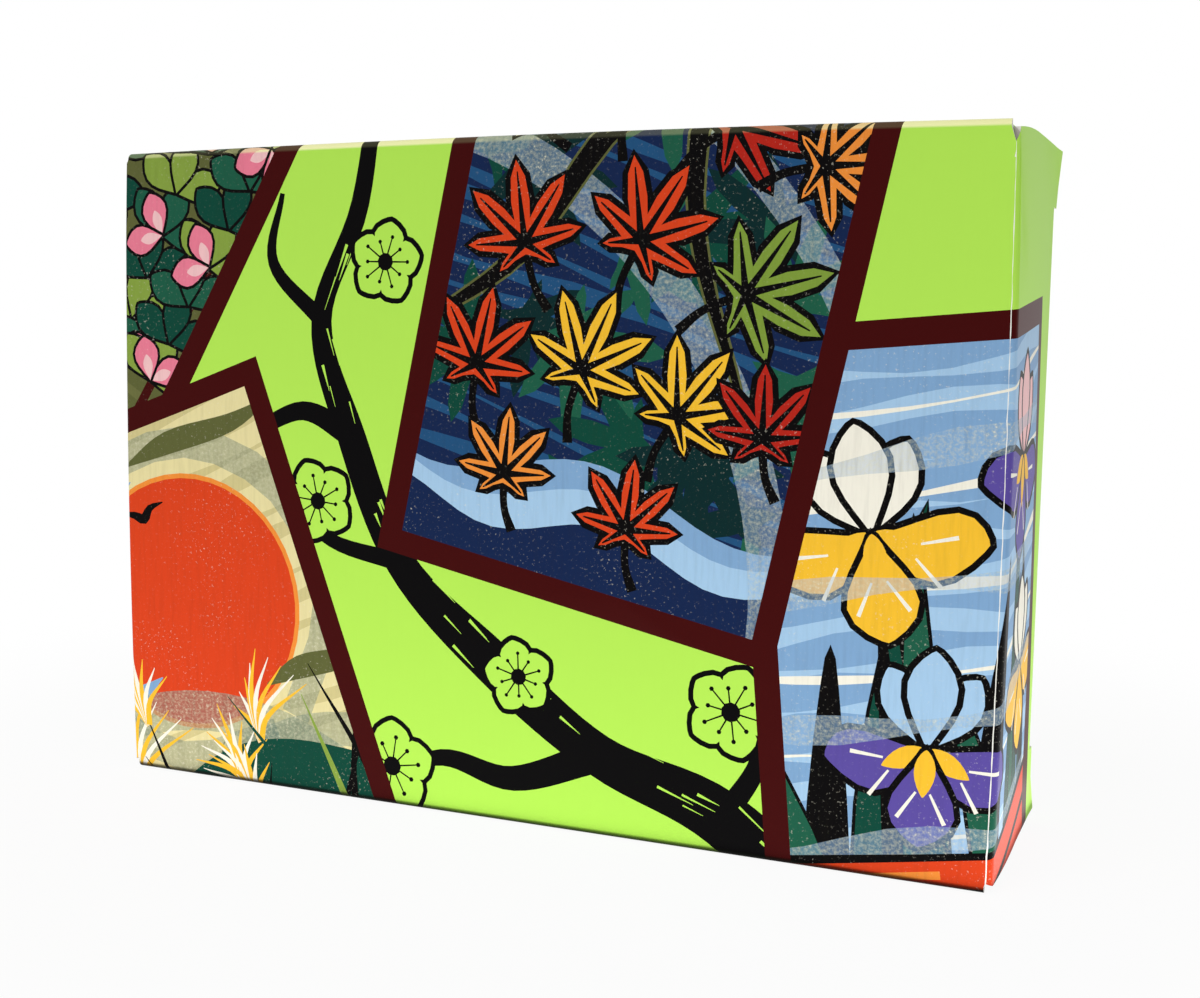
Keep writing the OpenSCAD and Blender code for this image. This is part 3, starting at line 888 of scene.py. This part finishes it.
def at_left(fold):
    """The same fold at the carton's left end."""
    return lambda flat, depth: fold(flat * (-1, 1), depth) * (-1, 1, 1)


def at_foot(fold):
    """The same fold on the bottom panel in place of the top one."""
    def mirrored(flat, depth):
        u, v = flat.T
        x, y, z = fold(np.stack([u, top_start + bottom_end - v], 1), depth).T
        return np.stack([x, y, HEIGHT - z], 1)
    return mirrored


def dust_crease_fold(flat, depth):
    u, v = flat.T
    angle = (u - PANEL_REACH) / DUST_FOLD
    x = DUST_HIGH.x - DUST_FOLD + (DUST_FOLD - depth) * np.sin(angle)
    z = HEIGHT - DUST_FOLD + (DUST_FOLD - depth) * np.cos(angle)
    return np.stack([x, FRONT_Y + LONG_FOLD + v - top_start, z], 1)


def dust_fold(flat, depth):
    u, v = flat.T
    x = np.full_like(u, DUST_HIGH.x - depth)
    return np.stack([x, FRONT_Y + LONG_FOLD + v - top_start, HEIGHT - DUST_FOLD - u + dust_start], 1)


def crease_bends(first, last, low, high):
    """Lines along which the board bends between two places on the flat sheet."""
    return [((u, low), (u, high)) for u in np.linspace(first, last, 8)[1:-1]]


def end_piece(name, body, outline, fold, side, bends=(), bent_to=None):
    """A board piece at one end, drawn for the right end. Given bent_to, it is a crease: it gets the finer
    cell and is attached to no body, and the parts that bent_to names are not used.
    """
    if side == "left":
        outline = [(-u, v) for u, v in reversed(outline)]
        bends = [((-a[0], a[1]), (-b[0], b[1])) for a, b in bends]
        fold = at_left(fold)
    piece = board_piece(f"{side}_{name}", outline, fold, bends, end_print, finishes=board_finishes,
                        cell=CREASE_CELL if bent_to else SHEET_CELL, settle=settled)
    if not bent_to:
        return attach(piece, body)
    # The points go to their places on the flat sheet while the object's transform is baked into the mesh,
    # and then back to their folded places.
    points = piece.data.vertices
    folded, flat = np.empty((2, 3 * len(points)), np.float32)
    points.foreach_get("co", folded)
    piece.data.attributes["sheet"].data.foreach_get("vector", flat)
    points.foreach_set("co", flat)
    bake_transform(piece)
    points.foreach_set("co", folded)
    piece.data.update()
    return piece


dust_reach = dust_end - dust_start
dust_front, dust_back = top_start, top_start + depth_flat
dust_outline = [
    (dust_start, dust_front),
    (dust_end - DUST_CORNER, dust_front + (dust_reach - DUST_CORNER) * DUST_FRONT_SLOPE),
    (dust_end, dust_front + dust_reach * DUST_FRONT_SLOPE + DUST_CORNER),
    (dust_end, dust_back - dust_reach * DUST_BACK_SLOPE - DUST_CORNER),
    (dust_end - DUST_CORNER, dust_back - (dust_reach - DUST_CORNER) * DUST_BACK_SLOPE),
    (dust_start, dust_back),
]
dust_crease_outline = [(PANEL_REACH, dust_front), (dust_start, dust_front), (dust_start, dust_back),
                       (PANEL_REACH, dust_back)]


def to_foot(outline):
    return [(u, top_start + bottom_end - v) for u, v in reversed(outline)]


def as_drawn(shape):
    return shape


for side in ("right", "left"):
    for level, move, shape in (("upper", as_drawn, as_drawn), ("lower", at_foot, to_foot)):
        flap = f"{side}_{level}_dust_flap"
        piece = end_piece(f"{level}_dust_board", flap, shape(dust_outline), move(dust_fold), side)
        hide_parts(flap)
        crease = shape(dust_crease_outline)
        depths = [v for _, v in crease]
        end_piece(f"{level}_dust_crease", "carton", crease, move(dust_crease_fold), side,
                  crease_bends(PANEL_REACH, dust_start, min(depths), max(depths)),
                  (flap, PANEL_REACH, dust_start))


# End lids: each hangs on a crease at the front panel's end and closes the carton, with two ears that press
# on the back panel's edge. The crease has cracked white along its outer line from use.
LID_SLIT = 0.15
EAR_CORNER = 0.3
EAR_FLARE, EAR_RUN = 0.4, 9.0
EAR_RISE, EAR_DROP = 0.65, 0.45
LID_BOW, FOOT_BULGE = 0.28, 0.1
LID_BEVEL, BEVEL_RUN = 0.28, 0.8
BULGE_RUN = 8.0
INNER_BOW = 0.3
SLIT_RISE = 1.0
tuck_top = TUCK_HIGH.z + SLIT_RISE
lid_start = FRONT_REACH + LID_FOLD_ARC
tuck_edge_y = TUCK_HIGH.y - TUCK_FOLD


def lid_u(y):
    """Place on the flat sheet of a point at that depth on a lid."""
    return lid_start + y - FRONT_Y - LID_FOLD_Y


def lid_bulge(v):
    """How far a lid stands out along its crease at that height: less and less towards its top corner."""
    return LID_BULGE * np.clip((LID_HIGH.z - v) / BULGE_RUN, 0, 1) ** 0.5


def lid_crease_fold(flat, depth):
    """Bends round from the front panel's edge into the lid. Its inner face cuts the corner."""
    u, v = flat.T
    share = (u - FRONT_REACH) / LID_FOLD_ARC
    out = LID_FOLD_IN + lid_bulge(v)
    if depth:
        x = FRONT_REACH + (out - depth) * share + INNER_BOW * np.sin(math.pi * share)
        return np.stack([x, FRONT_Y + depth + (LID_FOLD_Y - depth) * share, v], 1)
    x = FRONT_REACH + out * np.sin(QUARTER * share)
    return np.stack([x, FRONT_Y + LID_FOLD_Y * (1 - np.cos(QUARTER * share)), v], 1)


def lid_fold(flat, depth):
    """A lid, with its ears bent out and apart. Its inner face stops short, to let the tuck flap fold in."""
    u, v = flat.T
    y = FRONT_Y + LID_FOLD_Y + u - lid_start
    flare_share = (y - tuck_edge_y + EAR_RUN) / (BACK_Y - tuck_edge_y + EAR_RUN)
    flare = EAR_FLARE * np.clip(flare_share, 0, 1) ** 1.4
    above = np.clip((v - tuck_top) / (LID_HIGH.z - tuck_top), 0, 1)
    below = np.clip((TUCK_LOW.z - v) / (TUCK_LOW.z - LID_LOW.z), 0, 1)
    back = np.clip((y - FRONT_Y - LID_FOLD_Y) / (tuck_edge_y - FRONT_Y - LID_FOLD_Y), 0, 1)
    pinched = LID_BEVEL * np.clip((y - tuck_edge_y) / BEVEL_RUN + 1, 0, 1) if depth else 0
    bulge = lid_bulge(v) * (1 - back * back) + FOOT_BULGE * below * 4 * back * (1 - back)
    x = END_X - depth + bulge + flare * (0.6 * above ** 0.4 + 0.6 * above ** 4 + below ** 3)
    bowed = LID_BOW * np.sin(math.pi * back)
    spread = above * (EAR_RISE * (1 - (1 - back) ** 3) + bowed) - below * EAR_DROP * (1 - (1 - back) ** 3)
    return np.stack([x, y - pinched, v + spread], 1)


ear_arc = [(math.sin(a) * EAR_CORNER, (1 - math.cos(a)) * EAR_CORNER) for a in np.linspace(0, QUARTER, 6)]
ear_low = [(lid_u(BACK_Y - EAR_CORNER) + du, LID_LOW.z + dv) for du, dv in ear_arc]
slit_low, slit_high = TUCK_LOW.z - LID_SLIT, tuck_top + LID_SLIT
lid_foot = [(u, LID_LOW.z) for u in np.linspace(lid_start, lid_u(BACK_Y - EAR_CORNER), 12)[:-1]]
lid_foot += [*ear_low, (lid_u(BACK_Y), LID_LOW.z + 0.5 * (slit_low - LID_LOW.z))]
lid_back = [(BACK_Y, slit_low), (tuck_edge_y, slit_low), (tuck_edge_y, slit_high), (BACK_Y, slit_high)]
lid_outline = lid_foot + [(lid_u(y), v) for y, v in lid_back]
lid_outline += [(u, HEIGHT - v) for u, v in reversed(lid_foot)]
for side, relief in (("right", RELIEF_LENGTH), ("left", FOOT_RELIEF)):
    lid_crease_outline = [
        (FRONT_REACH, LONG_FOLD + FOOT_RELIEF), (lid_start, LID_LOW.z), (lid_start, LID_HIGH.z),
        (FRONT_REACH, HEIGHT - LONG_FOLD - relief),
    ]
    lid = end_piece("lid_board", f"{side}_lid", lid_outline, lid_fold, side)
    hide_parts(f"{side}_lid")
    end_piece("lid_crease", "carton", lid_crease_outline, lid_crease_fold, side,
              crease_bends(FRONT_REACH, lid_start, 0, HEIGHT),
              (f"{side}_lid", FRONT_REACH, lid_start))


# Tuck flaps: the last panel of each end, folded in at the lid's rear edge and slid behind the tray. Its free
# corners are rounded so that it finds its way in.
TUCK_CORNER = 4.0
tuck_start = lid_u(tuck_edge_y)
tuck_flat = tuck_start + QUARTER * TUCK_FOLD
tuck_end = tuck_flat + END_X - TUCK_FOLD - TUCK_LOW.x


def tuck_crease_fold(flat, depth):
    u, v = flat.T
    angle = (u - tuck_start) / TUCK_FOLD
    x = END_X - TUCK_FOLD + (TUCK_FOLD - depth) * np.cos(angle)
    return np.stack([x, TUCK_HIGH.y - TUCK_FOLD + (TUCK_FOLD - depth) * np.sin(angle), v], 1)


def tuck_fold(flat, depth):
    u, v = flat.T
    return np.stack([END_X - TUCK_FOLD - u + tuck_flat, np.full_like(u, TUCK_HIGH.y - depth), v], 1)


tuck_arc = [(math.sin(a) * TUCK_CORNER, (1 - math.cos(a)) * TUCK_CORNER) for a in np.linspace(0, QUARTER, 9)]
tuck_low = [(tuck_end - TUCK_CORNER + du, TUCK_LOW.z + dv) for du, dv in tuck_arc]
tuck_high = [(u, tuck_top + TUCK_LOW.z - v) for u, v in reversed(tuck_low)]
tuck_outline = [(tuck_flat, TUCK_LOW.z), *tuck_low, *tuck_high, (tuck_flat, tuck_top)]
tuck_crease_outline = [(tuck_start, TUCK_LOW.z), (tuck_flat, TUCK_LOW.z), (tuck_flat, tuck_top),
                       (tuck_start, tuck_top)]
for side in ("right", "left"):
    tuck = end_piece("tuck_board", f"{side}_tuck_flap", tuck_outline, tuck_fold, side)
    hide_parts(f"{side}_tuck_flap")
    end_piece("tuck_crease", f"{side}_lid", tuck_crease_outline, tuck_crease_fold, side,
              crease_bends(tuck_start, tuck_flat, TUCK_LOW.z, tuck_top),
              (f"{side}_tuck_flap", tuck_start, tuck_flat))


# Card tray: two deep bays drawn from one sheet of satin white plastic by heat and vacuum. It lies loose in
# the carton, and its flange keeps the two stacks of cards apart.
def worn_solid(name, colour, shade, rough, scale, depth):
    """A finish for a plain solid, with a slow change of tone, a fine grain and a roughness to match."""
    finish, shader, root = new_finish(name)
    point = root.node("ShaderNodeTexCoord", None, None, "Object")
    slow = point.noise(scale / 12, 2.0)
    fine = point.noise(scale, 4.0, 0.6)
    tone = (slow.rise(0.3, 0.7) * 0.6 + fine.rise(0.4, 0.7) * 0.4).mix(linear(colour), linear(shade))
    tone.into(shader, "Base Color")
    (rough + (slow - 0.5) * 0.12 + (fine - 0.5) * 0.1).into(shader, "Roughness")
    fine.bump(0.2, depth).into(shader, "Normal")
    shader.inputs["Specular IOR Level"].default_value = 0.3
    return finish


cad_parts["card_tray"].material_slots[0].material = worn_solid(
    "satin_white_plastic", "#EFEEEA", "#E2E1DC", 0.38, 900, 0.00003)


# Rules leaflet: one sheet of thin uncoated paper, folded twice into a letter Z, in front of the tray.
# Only its first fold shows, so it is left as plain paper with the tooth and cloudiness of its pulp.
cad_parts["rules_leaflet"].material_slots[0].material = worn_solid(
    "leaflet_paper", "#F3EBD6", "#E4D9BE", 0.82, 1400, 0.00002)


# Cards: layers of paper pasted to a stiff board, with the dark backing paper turned over all four edges to
# make the rim. Twelve flowers have four cards each, in two stacks, and one blank spare lies at the back.
CARD_EDGE = 0.45
CARD_ROUND = 0.16
CARD_CELL = 6.0
INDIGO = linear("#26315C")


def scattered(shapes, spots, turn=47):
    """Copies of a motif at several places, each turned a little further."""
    return [shape for k, at in enumerate(spots) for shape in moved(shapes, turn * k, at)]


def pine():
    shapes = painted(CREAM) + streaks(STRAW, 3.2, 1.0)
    trunk = [(-15, -24), (-6, -12), (-8, 0), (2, 9), (4, 22)]
    shapes.append((stroke(trunk, (4.5, 3.6, 2.8, 2.0, 1.0)), MAROON))
    clumps = ((-7, 17, 7), (7, 12, 7.5), (-8, 3, 6.5), (6, -3, 7), (-5, -10, 6.5), (8, -16, 7.5),
              (-8, -22, 6))
    for x, y, size in clumps:
        fan = np.array([polar(a, size) for a in range(-100, 101, 20)] + [(0, -0.12 * size)])
        shapes += lined(fan + (x, y), PINE)
        shapes += [(stroke([(x, y), (x + dx, y + dy)], (0.3, 0.12), 1), MOSS)
                   for dx, dy in (polar(a, 0.92 * size) for a in range(-90, 91, 20))]
    return shapes


def cherry():
    shapes = painted(SKY) + streaks(CHALK, 4.0, 1.0)
    shapes.append((stroke([(-15, 20), (-4, 12), (3, 2), (14, -4)], (1.0, 2.0, 2.4, 3.0)), MAROON))
    spots = ((-9, 18), (0, 20), (9, 17), (-11, 8), (-3, 10), (6, 8), (12, 5), (-8, -2), (1, -1), (9, -5),
             (-3, -10), (6, -13))
    return shapes + scattered(blossom(4.4, PINK), spots[::2]) + scattered(blossom(4.0, BLUSH), spots[1::2])


def wisteria():
    shapes = painted(CREAM) + streaks(linear("#EFE7C4"), 3.0, 1.2)
    for x, length in ((-10, 13), (-4, 19), (3, 15), (9.5, 20)):
        shapes.append((stroke([(x, 24), (x + 0.5, 10), (x, 12 - 2 * length)], (0.5, 0.5, 0.2)), BLACK))
        for k in range(length):
            half = 0.42 * (length - k) ** 0.8 * 0.4 + 0.8
            for side in (-1, 1):
                bud = turned(petal(2.4, 1.7, 0.6), 180 - 40 * side, (x + side * half * 0.4, 16 - 2.0 * k))
                shapes += lined(bud, VIOLET if (k + side) % 3 else INDIGO, line=0.18)
    spots = ((-12, 20), (-5, 22), (2, 21), (9, 22), (13, 18))
    return shapes + scattered(broad_leaf(8, 3.4, LEAF), spots, 63)


def peony():
    shapes = painted(OLIVE) + streaks(linear("#6F7242"), 2.8, 1.0)
    leaves = [(-10, -4), (8, -6), (-4, -16), (10, 12), (-11, 12), (3, -20)]
    shapes += scattered(broad_leaf(11, 5.5, LEAF, 1.0), leaves, 71)
    for x, y, size in ((-4, 11, 8.5), (5, -8, 9.0)):
        for ring, (reach, colour) in enumerate(((1.0, VERMILION), (0.78, ROSE), (0.55, PINK))):
            for k in range(8):
                leaf = petal(size * reach, size * 0.62 * reach, 0.68)
                shapes += lined(turned(leaf, 45 * k + 22 * ring, (x, y)), colour)
        shapes += lined(disc((x, y), 0.2 * size, 12), GOLD)
    return shapes


def chrysanthemum():
    shapes = painted(linear("#C9D6C8")) + streaks(CHALK, 3.6, 1.0)
    leaves = ((-9, -14), (9, -18), (-2, -22), (11, 0), (-12, 2), (2, -8))
    shapes += scattered(broad_leaf(12, 6, PINE, 1.2), leaves, 58)
    for x, y, size, colour in ((-4, 12, 8.5, GOLD), (6, -4, 8.0, CHALK), (-6, -10, 6.5, VERMILION)):
        for ring, reach in enumerate((1.0, 0.72)):
            for k in range(16):
                leaf = petal(size * reach, 0.3 * size * reach, 0.72)
                shapes += lined(turned(leaf, 22.5 * k + 11 * ring, (x, y)), colour, line=0.2)
        shapes += lined(disc((x, y), 0.2 * size, 12), AMBER)
    return shapes


def willow():
    shapes = painted(STEEL) + streaks(SKY, 3.0, 1.1, 0.1)
    shapes.append((stroke([(-15, -25), (-11, -6), (-13, 12), (-5, 25)], (4.6, 4.0, 3.4, 3.8)), BLACK))
    for k in range(17):
        x, sway, drop = -13 + 1.8 * k, draw.uniform(-2.5, 2.5), draw.uniform(24, 44)
        line = [(x, 26), (x + sway, 26 - 0.5 * drop), (x + 0.4 * sway, 26 - drop)]
        shapes.append((stroke(line, (0.4, 0.35, 0.15)), BLACK))
        for step in range(8):
            share = 0.15 + 0.1 * step
            at = (x + sway * share, 26 - drop * share)
            leaf = turned(petal(4.2, 1.1, 0.4), 204 if step % 2 else 156, at)
            shapes.append((leaf, (MOSS, PINE, LEAF)[(k + step) % 3]))
    return shapes


def paulownia():
    shapes = painted(CREAM) + streaks(STRAW, 3.0, 1.0) + hill(-19, 0.8, 5, 0, VERMILION)
    for angle, bend in ((-62, -2), (62, 2), (180, 0)):
        shapes += moved(broad_leaf(15, 11, INDIGO if angle < 0 else LEAF, bend), angle, (0, -3))
    for x, tall in ((-8, 4), (0, 6), (8, 4)):
        shapes.append((stroke([(x * 0.3, -3), (x, 6 + 2.6 * tall)], (0.6, 0.3), 2), BLACK))
        for k in range(tall):
            for side in (-1, 1):
                bud = turned(petal(3.4, 2.0, 0.65), -52 * side, (x, 3 + 2.7 * k))
                shapes += lined(bud, VIOLET, line=0.2)
    return shapes


def ribbon(colour):
    """A plain strip of paper tied among the flowers."""
    strip = np.array([(-2.6, -15), (2.2, -16), (3.0, 13), (-1.8, 14)])
    return lined(turned(strip, 9), colour, line=0.4)


def bird(size, body, wing, tail):
    """A bird on the wing."""
    shapes = lined(turned(petal(1.1 * size, 0.16 * size, 0.5), 160, (-0.2 * size, 0)), tail)
    shapes += lined(turned(petal(1.5 * size, 0.42 * size, 0.55), -100, (-0.6 * size, -0.1 * size)), body)
    shapes += lined(turned(petal(1.2 * size, 0.5 * size, 0.4, 0.3 * size), 28, (0, 0.05 * size)), wing)
    far_wing = petal(1.0 * size, 0.4 * size, 0.4, -0.2 * size)
    shapes += lined(turned(far_wing, -30, (0.1 * size, 0.1 * size)), wing)
    shapes += lined(disc((0.95 * size, -0.28 * size), 0.17 * size, 12), body)
    return shapes + [(disc((1.0 * size, -0.24 * size), 0.04 * size, 8), BLACK)]


def butterfly():
    shapes = []
    for angle, length, colour in ((-55, 6.5, GOLD), (55, 6.5, GOLD), (-120, 4.5, AMBER), (120, 4.5, AMBER)):
        shapes += lined(turned(petal(length, 0.75 * length, 0.62), angle), colour)
    return shapes + lined(turned(petal(6, 1.1, 0.55), 0, (0, -3)), MAROON)


def beast(colour, horned):
    """A four-legged animal, standing."""
    shapes = []
    for x in (-5, -3.2, 3.4, 5.2):
        shapes.append((stroke([(x, -1), (x + 0.3, -4), (x, -7)], (1.6, 1.0, 0.8), 3), colour))
    shapes += lined(turned(petal(13, 7.0, 0.5), -90, (-6.5, 1)), colour)
    shapes += lined(turned(petal(5.5, 3.2, 0.4), -62, (5, 3)), colour)
    if horned:
        for lean in (-0.8, 1.4):
            shapes.append((stroke([(8, 6), (8 + lean, 9), (7 + 2 * lean, 12)], (0.7, 0.5, 0.2), 3), BLACK))
    return shapes + [(disc((8.3, 5.0), 0.35, 8), CHALK)]


def curtain():
    """A striped cloth hung across the foot of a card."""
    folds = []
    for k, x in enumerate(range(-16, 16, 3)):
        cloth = [(x, -9 - 0.12 * x * x / 6), (x + 3, -9 - 0.12 * (x + 3) ** 2 / 6), (x + 3, -28), (x, -28)]
        folds.append((np.array(cloth), (VERMILION, CHALK, INDIGO)[k % 3]))
    return folds + [(stroke([(-17, -12), (0, -8.5), (17, -12)], (1.2, 1.4, 1.2)), BLACK)]


def cup():
    bowl = np.array([polar(a, 9) for a in range(95, 266, 10)]) * (1, 0.7) + (0, -14)
    return lined(bowl, VERMILION) + lined(disc((0, 0), 1, 30) * (9, 2.4) + (0, -14.5), AMBER)


def umbrella():
    dome = np.array([polar(a, 10) for a in range(-85, 86, 10)]) * (1, 0.75) + (3, -10)
    ribs = [(stroke([(3, -2.5), (3 + x, -9.6)], (0.2, 0.35), 2), BLACK) for x in (-8, -5, -2, 2, 5, 8)]
    return lined(dome, VERMILION) + ribs + [(stroke([(3, -2), (3, -18)], (0.6, 0.7), 2), BLACK)]


def bolt():
    path = [(-4, 24), (3, 12), (-2, 11), (5, -3), (0, -4), (4, -20), (-5, -1), (0, 0), (-7, 14), (-1, 14),
            (-8, 24)]
    return lined(np.array(path), GOLD, line=0.5)


FLOWERS = {flower.__name__: flower for flower in (pine, plum, cherry, wisteria, iris, peony, clover, pampas,
                                                  chrysanthemum, maple, willow, paulownia)}
geese = [shape for at in ((-6, 16), (2, 11), (7, 18)) for shape in moved(bird(4, BLACK, NAVY, BLACK), 8, at)]
GUESTS = {
    "pine_crane": lined(disc((6, 16), 6, 30), VERMILION) + moved(bird(9, CHALK, CHALK, BLACK), 10, (-1, -6)),
    "plum_warbler": moved(bird(6, MOSS, LEAF, LEAF), 0, (0, -9)),
    "cherry_curtain": curtain(),
    "wisteria_cuckoo": moved(bird(6.5, INDIGO, STEEL, INDIGO), 12, (0, -16)),
    "iris_bridge": planks(-11),
    "peony_butterfly": moved(butterfly(), -20, (7, 17)) + moved(butterfly(), 25, (-8, -18)),
    "clover_boar": moved(beast(MAROON, False), 0, (0, -14)),
    "pampas_geese": geese,
    "chrysanthemum_cup": cup(),
    "maple_deer": moved(beast(linear("#9A5A2C"), True), 0, (-2, -14)),
    "willow_rain": umbrella(),
    "willow_swallow": moved(bird(7, GOLD, NAVY, SCARLET), 0, (0, -6)),
    "willow_storm": bolt(),
    "paulownia_phoenix": moved(bird(9, VERMILION, GOLD, SCARLET), 12, (0, 10)),
}
RIBBONS = {"plum": VERMILION, "cherry": VERMILION, "pine": VERMILION,
           "peony": INDIGO, "chrysanthemum": INDIGO, "maple": INDIGO}


def card_face(suit, rank):
    """A card's picture: its flower, and the guest or the ribbon that its rank adds."""
    if (suit, rank) == ("pampas", "moon"):
        return framed(pampas(moon()))
    shapes = FLOWERS[suit]() + GUESTS.get(f"{suit}_{rank}", [])
    if rank == "ribbon":
        shapes += ribbon(RIBBONS.get(suit, SCARLET))
    return framed(shapes)


card_print = printed_finish("card_print", 0.5)
card_backing = bare_finish("card_backing")
card_outline = oblong(CARD_W / 2, CARD_H / 2, CARD_CORNER)
edge_ring = [(oblong(CARD_W / 2 - CARD_EDGE, CARD_H / 2 - CARD_EDGE, CARD_CORNER - CARD_EDGE), MAROON, 0.0)]
card_names = sorted(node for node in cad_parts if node.startswith("card_") and node != "card_tray")
for name in card_names:
    low, high = (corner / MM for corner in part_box(name))

    def card_fold(flat, depth, low=low, high=high):
        """Sets a flat card in its place in the stack, with its pasted edges rounded over."""
        inset = np.minimum(CARD_W / 2 - np.abs(flat[:, 0]), CARD_H / 2 - np.abs(flat[:, 1]))
        sink = CARD_ROUND * np.clip(1 - inset / CARD_EDGE, 0, 1) ** 2
        y = low.y + depth + (sink if depth == 0 else -sink)
        return np.stack([(low.x + high.x) / 2 + flat[:, 0], y, (low.z + high.z) / 2 + flat[:, 1]], 1)

    words = name.split("_", 2)[1:]
    face = card_face(*words) if len(words) == 2 else framed(painted(CHALK) + streaks(CREAM, 4, 1))
    card = board_piece(f"printed_{name}", card_outline, card_fold, (), face[:1] + edge_ring + face[1:],
                       MAROON, MAROON, MAROON, high.y - low.y, cell=CARD_CELL,
                       finishes=(card_print, card_backing))
    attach(card, "deck")
    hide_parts(name)
